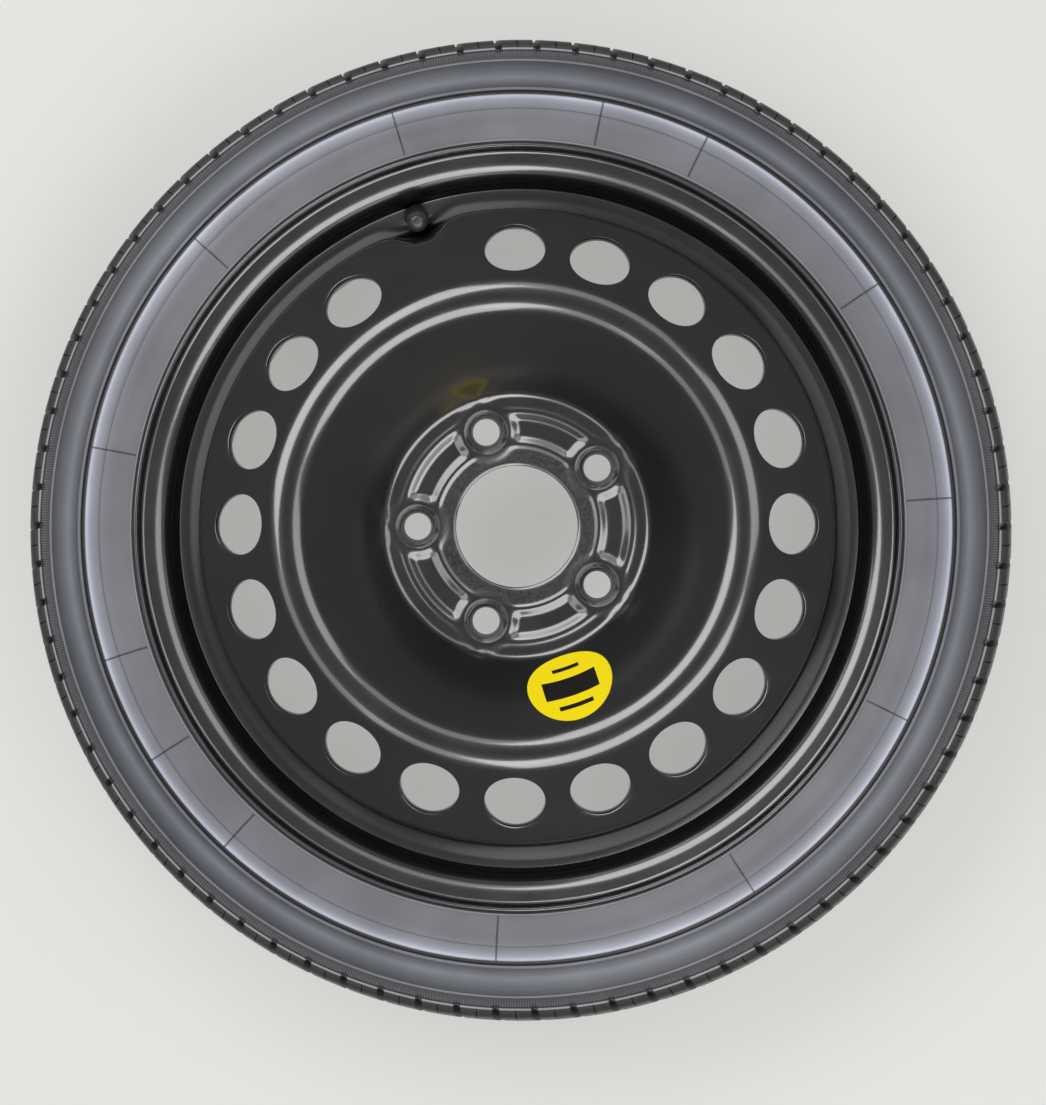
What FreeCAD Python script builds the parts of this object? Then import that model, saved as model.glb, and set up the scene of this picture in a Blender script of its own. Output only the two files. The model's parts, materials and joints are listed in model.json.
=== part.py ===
import FreeCAD, Part
import math
import os
import types
import Sketcher

# Temporary-use spare wheel: a narrow high-pressure tyre on a pressed-steel wheel.
# The frame has its origin at the centre of the hub mounting face and +Z along the wheel's
# axis towards the street side, so the wheel lies flat on its inboard sidewall.
# The tyre, the rim and the valve are drawn about the rim's centre plane and the disc about
# the hub face. All are drawn with the valve on the +X side, then turned to valve_angle.

DRIVING_SIZES = {
    # Wheel as a whole, millimetres and degrees
    "rim_offset": 41.0,
    "valve_angle": 108.0,
    "bead_gap": 0.3,
    "sheet_gap": 0.15,
    # Rim: seats and flanges of a 16 x 4 inch drop-centre rim
    "seat_radius": 202.8,
    "rim_width": 101.6,
    "seat_taper": 5.0,
    "seat_length": 17.8,
    "flange_height": 17.3,
    "flange_round": 9.5,
    "flange_reach": 10.7,
    "heel_round": 6.5,
    "rim_sheet": 2.5,
    "well_depth": 17.2,
    "slope_run": 5.0,
    "well_width": 36.0,
    "inboard_slope_run": 13.0,
    "ledge_round": 4.0,
    "well_round": 4.0,
    # Tyre: heights on the wall are shares of the way from the flange to the crown
    "tyre_radius": 290.7,
    "section_width": 125.0,
    "flange_wrap": 70.0,
    "rim_line_reach": 7.8,
    "bulge_share": 0.197,
    "bulge_round": 14.0,
    "ring_share": 0.416,
    "ring_inset": 1.2,
    "band_share": 0.717,
    "band_inset": 7.2,
    "tread_width": 93.6,
    "crown_arc": 150.0,
    "shoulder_round": 6.0,
    "lower_wall": 9.5,
    "middle_wall": 6.5,
    "shoulder_wall": 6.0,
    "crown_wall": 12.0,
    "toe_width": 15.0,
    "ring_groove_width": 2.4,
    "ring_groove_depth": 1.2,
    "band_width": 5.0,
    "band_rise": 0.8,
    "tread_groove_width": 7.0,
    "tread_groove_depth": 4.8,
    "tread_groove_spacing": 23.0,
    "slot_count": 78,
    "slot_width": 3.4,
    "slot_share": 0.8,
    "slot_run": 13.0,
    # Disc: pad, bowl, crown, vent ring and flange
    "disc_sheet": 3.5,
    "bore_radius": 35.15,
    "pad_radius": 76.0,
    "pad_round": 7.0,
    "band_start": 49.4,
    "band_end": 65.2,
    "band_slope_run": 3.2,
    "band_height": 1.6,
    "inner_valley_width": 3.6,
    "outer_valley_width": 4.6,
    "valley_slope_run": 1.2,
    "valley_depth": 1.0,
    "crown_radius": 127.0,
    "crown_height": 53.0,
    "crown_round": 18.0,
    "ring_slope": 32.0,
    "edge_round": 7.0,
    "disc_flange_end": 33.0,
    "bolt_count": 5,
    "bolt_circle": 57.5,
    "bolt_hole_radius": 7.8,
    "bolt_seat_radius": 10.6,
    "bolt_seat_angle": 30.0,
    "boss_top_radius": 11.4,
    "boss_foot_radius": 15.0,
    "boss_height": 7.0,
    "moat_radius": 17.0,
    "vent_positions": 20,
    "vent_circle": 157.0,
    "vent_radius": 17.2,
    "flute_radius": 24.0,
    "flute_clearance": 9.4,
    # Welds between the disc flange and the rim well
    "weld_count": 4,
    "weld_arc": 50.0,
    "weld_leg": 3.2,
    # Valve: along its own axis from the street face of the rim
    "rim_hole_radius": 5.85,
    "stem_fit": 0.15,
    "stem_face_radius": 6.1,
    "stem_bulb_radius": 8.0,
    "stem_bulb_flare": 3.0,
    "stem_bulb_length": 6.5,
    "stem_foot_radius": 7.0,
    "stem_foot_flare": 2.5,
    "stem_tip_radius": 5.2,
    "stem_length": 20.5,
    "thread_radius": 3.85,
    "thread_length": 11.0,
    "insert_radius": 3.0,
    "insert_bore": 1.75,
    "core_radius": 2.5,
    "core_length": 8.0,
    "core_bore": 0.95,
    "core_recess": 1.4,
    "pin_radius": 0.65,
    "pin_proud": 0.9,
    "plunger_radius": 1.4,
    "plunger_length": 1.2,
    "plunger_seal_length": 1.0,
    "valve_fit": 0.2,
    "cap_radius": 5.85,
    "cap_tip_radius": 5.0,
    "cap_round": 1.6,
    "cap_top": 1.5,
    "cap_seal_thickness": 0.8,
    # Speed label stuck to the wall of the bowl
    "label_angle": 289.0,
    "label_radius": 25.0,
    "label_circle": 97.4,
    "label_thickness": 0.3,
    "label_gap": 0.05,
}

# Cutters run past what they cut by this many times its thickness or radius
CUT_OVERRUN = 2
LABEL_CONE_MARGIN = 1.2


# Sizes: numbers that remember the sheet expression they came from

def value_of(item):
    return item.value if isinstance(item, Size) else float(item)


def text_of(item):
    return item.text if isinstance(item, Size) else repr(float(item))


class Size:
    """A length or an angle: its value, and the expression that binds it to the sheet."""

    def __init__(self, value, text):
        self.value = value
        self.text = text

    def __add__(self, other):
        return Size(self.value + value_of(other), f"({self.text} + {text_of(other)})")

    def __sub__(self, other):
        return Size(self.value - value_of(other), f"({self.text} - {text_of(other)})")

    def __mul__(self, other):
        return Size(self.value * value_of(other), f"({self.text} * {text_of(other)})")

    def __truediv__(self, other):
        return Size(self.value / value_of(other), f"({self.text} / {text_of(other)})")

    def __neg__(self):
        return Size(-self.value, f"(-1 * {self.text})")


def sine(angle):
    return Size(math.sin(math.radians(angle.value)), f"sin({angle.text})")


def cosine(angle):
    return Size(math.cos(math.radians(angle.value)), f"cos({angle.text})")


def tangent(angle):
    return Size(math.tan(math.radians(angle.value)), f"tan({angle.text})")


def arc_sine(ratio):
    return Size(math.degrees(math.asin(ratio.value)), f"asin({ratio.text})")


def slope_angle(rise, run):
    angle = math.degrees(math.atan2(rise.value, run.value))
    return Size(angle, f"atan({rise.text} / {run.text})")


def make_sheet(doc):
    sheet = doc.addObject("Spreadsheet::Sheet", "Sizes")
    names = types.SimpleNamespace()
    for row, (name, number) in enumerate(DRIVING_SIZES.items(), start=1):
        sheet.set(f"A{row}", name)
        sheet.set(f"B{row}", str(number))
        sheet.setAlias(f"B{row}", name)
        setattr(names, name, Size(float(number), f"Sizes.{name}"))
    doc.recompute()
    return names


# Sketches: chains of lines with rounded corners, every corner bound to the sheet

class Drawing:
    """A sketch under construction: its constraints are added in one go by finish()."""

    def __init__(self, sketch):
        self.sketch = sketch
        self.constraints = []
        self.bindings = []

    def hold(self, *parts):
        self.constraints.append(Sketcher.Constraint(*parts))

    def bind(self, size, *parts):
        self.bindings.append((len(self.constraints), size))
        self.constraints.append(Sketcher.Constraint(*parts, size.value))

    def place(self, item, end, x, y):
        for kind, axis, size in (("DistanceX", -2, x), ("DistanceY", -1, y)):
            if isinstance(size, Size):
                self.bind(size, kind, item, end)
            else:
                self.hold("PointOnObject", item, end, axis)

    def finish(self):
        self.sketch.addConstraint(self.constraints)
        for index, size in self.bindings:
            self.sketch.setExpression(f"Constraints[{index}]", size.text)
        return self.sketch


class Corner:
    """A corner of a chain, with the ends of its round, in numbers."""

    def __init__(self, before, point, after, radius):
        self.point = point
        to_before = (before - point).normalize()
        to_after = (after - point).normalize()
        half = to_before.getAngle(to_after) / 2.0
        reach = radius / math.tan(half) if radius else 0.0
        self.radius = radius
        self.start = point + to_before * reach
        self.end = point + to_after * reach
        self.turn = to_before.cross(to_after).z
        if radius:
            bisector = (to_before + to_after).normalize()
            self.centre = point + bisector * (radius / math.sin(half))

    def arc(self):
        """The round, counter-clockwise, and which of its ends meets the line before it."""
        circle = Part.Circle(self.centre, FreeCAD.Vector(0, 0, 1), self.radius)
        first, last = (self.end, self.start) if self.turn > 0 else (self.start, self.end)
        angles = [math.atan2((p - self.centre).y, (p - self.centre).x) for p in (first, last)]
        meets_before = 2 if self.turn > 0 else 1
        return Part.ArcOfCircle(circle, angles[0], angles[1]), meets_before


def vectors(corners):
    return [FreeCAD.Vector(value_of(x), value_of(y), 0) for x, y, _ in corners]


def corner_set(points, radii, closed):
    """Corner objects for a chain; the two ends of an open chain stay sharp."""
    count = len(points)
    made = []
    for index, point in enumerate(points):
        is_end = not closed and index in (0, count - 1)
        before = points[index - 1] if index or closed else points[1] * -1 + point * 2
        after = points[(index + 1) % count] if index < count - 1 or closed else point * 2 - points[-2]
        if is_end:
            made.append(types.SimpleNamespace(point=point, start=point, end=point, radius=0.0))
        else:
            made.append(Corner(before, point, after, radii[index]))
    return made


def add_chain(drawing, made, closed):
    """Lines and arcs through the corners, joined end to end. Returns their indices."""
    sketch = drawing.sketch
    count = len(made)
    line_count = count if closed else count - 1
    lines = []
    for index in range(line_count):
        segment = Part.LineSegment(made[index].end, made[(index + 1) % count].start)
        lines.append(sketch.addGeometry(segment, False))
    arcs = {}
    for index, corner in enumerate(made):
        if not closed and index in (0, count - 1):
            continue
        line_before = lines[index - 1]
        line_after = lines[index]
        if corner.radius:
            shape, meets_before = corner.arc()
            arc = sketch.addGeometry(shape, False)
            drawing.hold("Tangent", line_before, 2, arc, meets_before)
            drawing.hold("Tangent", line_after, 1, arc, 3 - meets_before)
            arcs[index] = arc
        else:
            drawing.hold("Coincident", line_before, 2, line_after, 1)
    return lines, arcs


def bind_chain(drawing, corners, made, lines, arcs):
    """Binds every corner's place and round to the sheet."""
    for index, (x, y, radius) in enumerate(corners):
        if index in arcs:
            point = drawing.sketch.addGeometry(Part.Point(made[index].point), True)
            drawing.hold("PointOnObject", point, 1, lines[index - 1])
            drawing.hold("PointOnObject", point, 1, lines[index])
            drawing.place(point, 1, x, y)
            drawing.bind(radius, "Radius", arcs[index])
        elif index < len(lines):
            drawing.place(lines[index], 1, x, y)
        else:
            drawing.place(lines[-1], 2, x, y)


def draw_loop(sketch, *loops):
    """Closed outlines, each a list of corners (x, y, round or None)."""
    drawing = Drawing(sketch)
    for corners in loops:
        radii = [value_of(radius) if radius else 0.0 for _, _, radius in corners]
        made = corner_set(vectors(corners), radii, True)
        lines, arcs = add_chain(drawing, made, True)
        bind_chain(drawing, corners, made, lines, arcs)
    return drawing.finish()


def draw_sheet(sketch, corners, thickness, side):
    """A pressed sheet: one face as a chain of corners, the other parallel to it at the sheet's
    thickness on the given side (1 is left of the direction of travel, -1 is right of it)."""
    drawing = Drawing(sketch)
    radii = [value_of(radius) if radius else 0.0 for _, _, radius in corners]
    points = vectors(corners)
    made = corner_set(points, radii, False)
    lines, arcs = add_chain(drawing, made, False)
    bind_chain(drawing, corners, made, lines, arcs)

    step = thickness.value
    runs = [(b - a).normalize() for a, b in zip(points, points[1:])]
    normals = [FreeCAD.Vector(-run.y, run.x, 0) * side for run in runs]
    far_points = [points[0] + normals[0] * step]
    for point, one, two in zip(points[1:], normals, normals[1:]):
        far_points.append(point + (one + two) * (step / (1.0 + one.dot(two))))
    far_points.append(points[-1] + normals[-1] * step)
    grows = [-1 if corner.radius and corner.turn * side < 0 else 1 for corner in made]
    far_radii = [radius + grow * step if radius else 0.0 for radius, grow in zip(radii, grows)]

    far_made = corner_set(far_points, far_radii, False)
    far_lines, far_arcs = add_chain(drawing, far_made, False)
    for line, far_line in zip(lines, far_lines):
        drawing.hold("Parallel", line, far_line)
        drawing.bind(thickness, "Distance", far_line, 1, line)
    for index, arc in far_arcs.items():
        near_round = corners[index][2]
        far_round = near_round + thickness if grows[index] > 0 else near_round - thickness
        drawing.bind(far_round, "Radius", arc)
    for end, last in ((1, 0), (2, -1)):
        corner_pair = (made[last].point, far_made[last].point)
        edge = sketch.addGeometry(Part.LineSegment(*corner_pair), False)
        drawing.hold("Coincident", edge, 1, lines[last], end)
        drawing.hold("Coincident", edge, 2, far_lines[last], end)
        drawing.hold("Perpendicular", edge, lines[last])
    return drawing.finish()


# Bodies and features

def origin_item(body, role):
    return next(item for item in body.Origin.OriginFeatures if item.Role == role)


def new_body(doc, label):
    body = doc.addObject("PartDesign::Body", label)
    body.Label = label
    return body


def new_sketch(body, name, x=None, y=None, angle=None):
    """A sketch on the plane through the wheel's axis, optionally moved to (x, y) and turned."""
    sketch = body.newObject("Sketcher::SketchObject", name)
    sketch.AttachmentSupport = [(origin_item(body, "XZ_Plane"), "")]
    sketch.MapMode = "FlatFace"
    if x:
        turn = FreeCAD.Rotation(FreeCAD.Vector(0, 0, 1), angle.value if angle else 0.0)
        sketch.AttachmentOffset = FreeCAD.Placement(FreeCAD.Vector(x.value, value_of(y), 0), turn)
        sketch.setExpression("AttachmentOffset.Base.x", x.text)
        if isinstance(y, Size):
            sketch.setExpression("AttachmentOffset.Base.y", y.text)
        if angle:
            sketch.setExpression("AttachmentOffset.Rotation.Angle", angle.text)
    return sketch


def spin(body, kind, name, sketch, angle=None):
    """Revolves a sketch about its own upright axis, as a solid or as a cut."""
    feature = body.newObject(f"PartDesign::{kind}", name)
    feature.Profile = sketch
    feature.ReferenceAxis = (sketch, ["V_Axis"])
    feature.Angle = angle.value if angle else 360.0
    if angle:
        feature.setExpression("Angle", angle.text)
        feature.Midplane = True
    body.Tip = feature
    return feature


def add_spin(body, name, sketch, angle=None):
    return spin(body, "Revolution", name, sketch, angle)


def cut_spin(body, name, sketch):
    return spin(body, "Groove", name, sketch)


def pattern(body, name, originals, count, angle=None, reverse=False):
    """Copies features round the wheel's axis."""
    feature = body.newObject("PartDesign::PolarPattern", name)
    feature.Originals = originals
    feature.Axis = (origin_item(body, "Z_Axis"), [""])
    feature.Angle = angle.value if angle else 360.0
    if angle:
        feature.setExpression("Angle", angle.text)
    feature.Reversed = reverse
    feature.Occurrences = int(round(count.value))
    feature.setExpression("Occurrences", count.text)
    body.Tip = feature
    body.Document.recompute()
    return feature


def turn_to_place(part, angle, drop=None):
    """Turns a finished part about the wheel's axis and lowers it by drop."""
    height = -drop.value if drop else 0.0
    part.Placement = FreeCAD.Placement(
        FreeCAD.Vector(0, 0, height), FreeCAD.Rotation(FreeCAD.Vector(0, 0, 1), angle.value))
    part.setExpression("Placement.Rotation.Angle", angle.text)
    if drop:
        part.setExpression("Placement.Base.z", (-drop).text)


def mirrored(corners):
    """The same corners on the inboard side, in reverse order."""
    return [(x, -y, radius) for x, y, radius in reversed(corners)]


# Shared places, worked out from the driving sizes

def shared_places(s):
    p = types.SimpleNamespace()
    p.rim_half = s.rim_width / 2
    p.flange_radius = s.seat_radius + s.flange_height
    p.seat_end = s.rim_width / 2 - s.seat_length
    p.seat_end_radius = s.seat_radius - s.seat_length * tangent(s.seat_taper)
    p.well_radius = s.seat_radius - s.well_depth
    p.well_start = p.seat_end - s.slope_run
    p.well_end = p.well_start - s.well_width
    p.ledge_start = p.well_end - s.inboard_slope_run
    p.ledge_radius = s.seat_radius - (p.rim_half + p.ledge_start) * tangent(s.seat_taper)

    # The valve stands square on the slope between the seat and the well
    p.valve_tilt = slope_angle(s.slope_run, p.seat_end_radius - p.well_radius)
    p.valve_radius = (p.seat_end_radius + p.well_radius) / 2 - s.rim_sheet * sine(p.valve_tilt)
    p.valve_level = (p.seat_end + p.well_start) / 2 + s.rim_sheet * cosine(p.valve_tilt)
    p.thread_foot = s.stem_length + s.stem_fit * 2
    p.thread_end = p.thread_foot + s.thread_length
    p.core_foot = p.thread_end - s.core_recess - s.core_length
    p.plunger_top = p.core_foot - s.plunger_seal_length - s.valve_fit

    p.disc_radius = p.well_radius - s.rim_sheet - s.sheet_gap
    p.edge_height = s.crown_height - (p.disc_radius - s.crown_radius) * tangent(s.ring_slope)
    return p


# Tyre

def tyre_stations(s, p):
    """Radius and level of the corners of the tyre's outer wall on the street side."""
    t = types.SimpleNamespace()
    wall_height = s.tyre_radius - p.flange_radius
    widest = s.section_width / 2
    t.bulge = (p.flange_radius + wall_height * s.bulge_share, widest)
    t.ring = (p.flange_radius + wall_height * s.ring_share, widest - s.ring_inset)
    t.band = (p.flange_radius + wall_height * s.band_share, widest - s.band_inset)
    t.slot_foot_radius = p.flange_radius + wall_height * s.slot_share

    # The tread is one arc across that runs out straight into the round of the shoulder
    half_tread = s.tread_width / 2
    lean = arc_sine((half_tread - s.shoulder_round) / s.crown_arc)
    arc_drop = s.crown_arc - s.crown_arc * cosine(lean)
    shoulder_radius = s.tyre_radius - arc_drop - s.shoulder_round * tangent(lean)
    t.shoulder = (shoulder_radius, half_tread)
    t.apex = (shoulder_radius + half_tread * tangent(lean), 0)
    return t


def tyre_half(s, p, t):
    """Street half of the tyre's section, from the inside of the crown round to the shoulder."""
    wall = p.rim_half - s.bead_gap
    base_drop = tangent(s.seat_taper)
    heel_radius = s.seat_radius + s.bead_gap
    toe = wall - s.toe_width
    wrap_round = s.flange_round + s.bead_gap
    wrap_corner = p.flange_radius - s.flange_round + wrap_round * tangent(s.flange_wrap / 2)
    rim_line = p.rim_half + s.rim_line_reach
    rim_line_radius = wrap_corner + (rim_line - wall) / tangent(s.flange_wrap)
    bulge_radius, bulge = t.bulge
    ring_radius, ring = t.ring
    _, shoulder = t.shoulder
    return [
        (s.tyre_radius - s.crown_wall, shoulder - s.shoulder_wall, None),
        (ring_radius, ring - s.middle_wall, None),
        (bulge_radius, bulge - s.lower_wall, None),
        (heel_radius - s.toe_width * base_drop, toe, None),
        (heel_radius, wall, s.heel_round),
        (wrap_corner, wall, wrap_round),
        (rim_line_radius, rim_line, None),
        (*t.bulge, s.bulge_round),
        (*t.ring, None),
        (*t.band, None),
        (*t.shoulder, s.shoulder_round),
    ]


def make_tyre(doc, s, p):
    body = new_body(doc, "tyre")
    t = tyre_stations(s, p)
    half = tyre_half(s, p, t)
    outline = half + [(*t.apex, s.crown_arc)] + mirrored(half)
    add_spin(body, "tyre_carcass", draw_loop(new_sketch(body, "tyre_section"), outline[::-1]))

    # Raised band round each shoulder, sunk a little into the wall so that it joins it
    ring_radius, ring = t.ring
    band_radius, band_level = t.band
    lean = slope_angle(ring - band_level, band_radius - ring_radius)
    along = s.band_width / 2
    sunk = s.band_rise * 2
    band = []
    for run, rise in ((-along, -sunk), (along, -sunk), (along, s.band_rise), (-along, s.band_rise)):
        band.append((band_radius + run * cosine(lean) + rise * sine(lean),
                     band_level - run * sine(lean) + rise * cosine(lean), None))
    band_sketch = draw_loop(new_sketch(body, "shoulder_band_section"), band, mirrored(band))
    add_spin(body, "shoulder_bands", band_sketch)

    # Three grooves round the tread, equally deep, and a fine one round each sidewall
    above = s.tyre_radius + s.tread_groove_depth
    side_drop = s.tread_groove_spacing * s.tread_groove_spacing / (s.crown_arc * 2)
    middle_floor = s.tyre_radius - s.tread_groove_depth
    side_floor = middle_floor - side_drop
    half_width = s.tread_groove_width / 2
    middle = [(middle_floor, -half_width, None), (above, -half_width, None),
              (above, half_width, None), (middle_floor, half_width, None)]
    low = s.tread_groove_spacing - half_width
    high = s.tread_groove_spacing + half_width
    side = [(side_floor, low, None), (above, low, None), (above, high, None), (side_floor, high, None)]
    reach = s.ring_groove_width / 2
    fine = [(ring_radius, ring - s.ring_groove_depth, None),
            (ring_radius + reach, ring + s.ring_groove_depth, None),
            (ring_radius - reach, ring + s.ring_groove_depth, None)]
    grooves = [middle, side, mirrored(side), fine, mirrored(fine)]
    cut_spin(body, "ring_grooves", draw_loop(new_sketch(body, "groove_sections"), *grooves))

    # Slots across both shoulders between the tread blocks
    shoulder_radius, shoulder = t.shoulder
    slot = [(t.slot_foot_radius, band_level, None), (above, band_level, None),
            (above, shoulder - s.slot_run, None), (shoulder_radius, shoulder - s.slot_run, None)]
    slots = body.newObject("PartDesign::Pocket", "shoulder_slot_pair")
    slots.Profile = draw_loop(new_sketch(body, "slot_section"), slot, mirrored(slot))
    slots.Midplane = True
    slots.setExpression("Length", s.slot_width.text)
    body.Tip = slots
    pattern(body, "shoulder_slots", [slots], s.slot_count)
    turn_to_place(body, s.valve_angle, s.rim_offset)
    return body


# Rim

def make_rim(doc, s, p):
    body = new_body(doc, "rim")
    half = p.rim_half
    tip = half + s.flange_reach
    tyre_side = [
        (p.flange_radius, tip, None),
        (p.flange_radius, half, s.flange_round),
        (s.seat_radius, half, s.heel_round),
        (p.seat_end_radius, p.seat_end, s.ledge_round),
        (p.well_radius, p.well_start, s.well_round),
        (p.well_radius, p.well_end, s.well_round),
        (p.ledge_radius, p.ledge_start, s.ledge_round),
        (s.seat_radius, -half, s.heel_round),
        (p.flange_radius, -half, s.flange_round),
        (p.flange_radius, -tip, None),
    ]
    section = draw_sheet(new_sketch(body, "rim_section"), tyre_side, s.rim_sheet, -1)
    add_spin(body, "rim_sheet_ring", section)
    hole = valve_sketch(body, "valve_hole_section", p)
    reach = s.rim_sheet * CUT_OVERRUN
    draw_loop(hole, [(0, -reach, None), (s.rim_hole_radius, -reach, None),
                     (s.rim_hole_radius, reach, None), (0, reach, None)])
    cut_spin(body, "valve_hole", hole)
    turn_to_place(body, s.valve_angle, s.rim_offset)
    return body


# Disc

def make_disc(doc, s, p):
    body = new_body(doc, "disc")
    sheet = s.disc_sheet

    # Flute round the valve: a block under the sheet, hollowed once the sheet is there
    flute_shift = s.flute_radius - s.flute_clearance
    flute_radius = p.valve_radius + flute_shift * cosine(p.valve_tilt)
    flute_level = p.valve_level - s.rim_offset + flute_shift * sine(p.valve_tilt)
    flute_top = s.crown_height
    flute_place = (flute_radius, flute_level, p.valve_tilt)
    block_sketch = new_sketch(body, "flute_block_section", *flute_place)
    block_radius = s.flute_radius + sheet
    draw_loop(block_sketch, [(0, -sheet, None), (block_radius, -sheet, None),
                             (block_radius, flute_top, None), (0, flute_top, None)])
    add_spin(body, "flute_block", block_sketch)

    # The block is trimmed to the middle of the sheet
    middle = p.disc_radius - sheet / 2
    slope = tangent(s.ring_slope)
    slope_drop = sheet / 2 / cosine(s.ring_slope)
    corner_height = s.crown_height - (middle - s.crown_radius) * slope - slope_drop
    inner_height = s.crown_height - slope_drop
    outside = p.disc_radius * CUT_OVERRUN
    below = -s.disc_flange_end * CUT_OVERRUN
    over = s.crown_height * CUT_OVERRUN
    trim = [(middle, below, None),
            (outside, below, None),
            (outside, over, None),
            (s.crown_radius, over, None),
            (s.crown_radius, inner_height, None),
            (middle, corner_height, None)]
    cut_spin(body, "flute_trim", draw_loop(new_sketch(body, "flute_trim_section"), trim))

    # The pressed sheet: pad with a raised band, bowl, crown, vent ring and flange
    band_top = sheet + s.band_height
    street_side = [
        (s.bore_radius, sheet, None),
        (s.band_start, sheet, None),
        (s.band_start + s.band_slope_run, band_top, None),
        (s.band_end - s.band_slope_run, band_top, None),
        (s.band_end, sheet, None),
        (s.pad_radius, sheet, s.pad_round),
        (s.crown_radius, s.crown_height, s.crown_round),
        (p.disc_radius, p.edge_height, s.edge_round),
        (p.disc_radius, -s.disc_flange_end, None),
    ]
    section = draw_sheet(new_sketch(body, "disc_section"), street_side, sheet, -1)
    add_spin(body, "disc_sheet_form", section)

    # Valleys struck into the street side of the pad, inside and outside the band
    valley_floor = sheet - s.valley_depth
    above = s.boss_height * CUT_OVERRUN

    def valley(start, end):
        return [(start, above, None), (start, sheet, None),
                (start + s.valley_slope_run, valley_floor, None),
                (end - s.valley_slope_run, valley_floor, None),
                (end, sheet, None), (end, above, None)]

    inner_valley = valley(s.band_start - s.inner_valley_width, s.band_start)
    outer_valley = valley(s.band_end, s.band_end + s.outer_valley_width)
    valley_sketch = draw_loop(new_sketch(body, "pad_valley_section"), inner_valley, outer_valley)
    cut_spin(body, "pad_valleys", valley_sketch)

    # Bolt seats: a moat as deep as the valleys, a boss and a coned hole, repeated round the pad
    def bolt_feature(make, name, corners):
        sketch = new_sketch(body, f"{name}_section", s.bolt_circle, 0.0)
        return make(body, name, draw_loop(sketch, corners))

    top = s.boss_height
    seat_depth = (s.bolt_seat_radius - s.bolt_hole_radius) / tangent(s.bolt_seat_angle)
    land = bolt_feature(add_spin, "bolt_land", [
        (0, 0, None), (s.moat_radius, 0, None),
        (s.moat_radius, valley_floor, None), (0, valley_floor, None)])
    moat = bolt_feature(cut_spin, "bolt_moat", [
        (0, valley_floor, None), (s.moat_radius, valley_floor, None),
        (s.moat_radius, above, None), (0, above, None)])
    boss = bolt_feature(add_spin, "bolt_boss", [
        (0, sheet / 2, None), (s.boss_foot_radius, sheet / 2, None),
        (s.boss_foot_radius, valley_floor, None), (s.boss_top_radius, top, None), (0, top, None)])
    seat = bolt_feature(cut_spin, "bolt_seat", [
        (0, -sheet, None), (s.bolt_hole_radius, -sheet, None),
        (s.bolt_hole_radius, top - seat_depth, None), (s.bolt_seat_radius, top, None),
        (s.bolt_seat_radius, above, None), (0, above, None)])
    pattern(body, "bolt_seats", [land, moat, boss, seat], s.bolt_count)

    # Vents at every position but the valve's, from the one opposite it both ways round
    vent_height = s.crown_height - (s.vent_circle - s.crown_radius) * slope
    vent_sketch = new_sketch(body, "vent_section", -s.vent_circle, vent_height, s.ring_slope)
    reach = sheet * CUT_OVERRUN
    draw_loop(vent_sketch, [(0, -reach, None), (s.vent_radius, -reach, None),
                            (s.vent_radius, reach, None), (0, reach, None)])
    vent = cut_spin(body, "vent", vent_sketch)
    half_count = s.vent_positions / 2
    half_sweep = (half_count - 1) * (Size(360.0, "360") / s.vent_positions)
    pattern(body, "vents_one_way", [vent], half_count, half_sweep)
    pattern(body, "vents_other_way", [vent], half_count, half_sweep, True)

    hollow_sketch = new_sketch(body, "flute_section", *flute_place)
    low = -sheet * CUT_OVERRUN
    high = flute_top + sheet
    draw_loop(hollow_sketch, [(0, low, None), (s.flute_radius, low, None),
                              (s.flute_radius, high, None), (0, high, None)])
    cut_spin(body, "flute", hollow_sketch)
    turn_to_place(body, s.valve_angle)
    return body


def make_welds(doc, s, p):
    """Fillet welds along the end of the disc flange, in equal runs round the rim well."""
    body = new_body(doc, "weld_beads")
    top = -(s.disc_flange_end + s.sheet_gap)
    low = top - s.weld_leg
    outer = p.disc_radius
    bead = [(outer, top, None), (outer - s.weld_leg, top, None), (outer, low, None)]
    run = add_spin(body, "weld_run", draw_loop(new_sketch(body, "weld_section"), bead), s.weld_arc)
    pattern(body, "weld_runs", [run], s.weld_count)
    turn_to_place(body, s.valve_angle)
    return body


# Valve

def valve_sketch(body, name, p):
    """A sketch whose upright axis is the valve's, with its origin on the rim's street face."""
    return new_sketch(body, name, p.valve_radius, p.valve_level, p.valve_tilt)


def make_valve_piece(doc, s, p, label, corners):
    body = new_body(doc, label)
    sketch = draw_loop(valve_sketch(body, f"{label}_section", p), corners)
    add_spin(body, f"{label}_form", sketch)
    turn_to_place(body, s.valve_angle, s.rim_offset)
    return body


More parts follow.
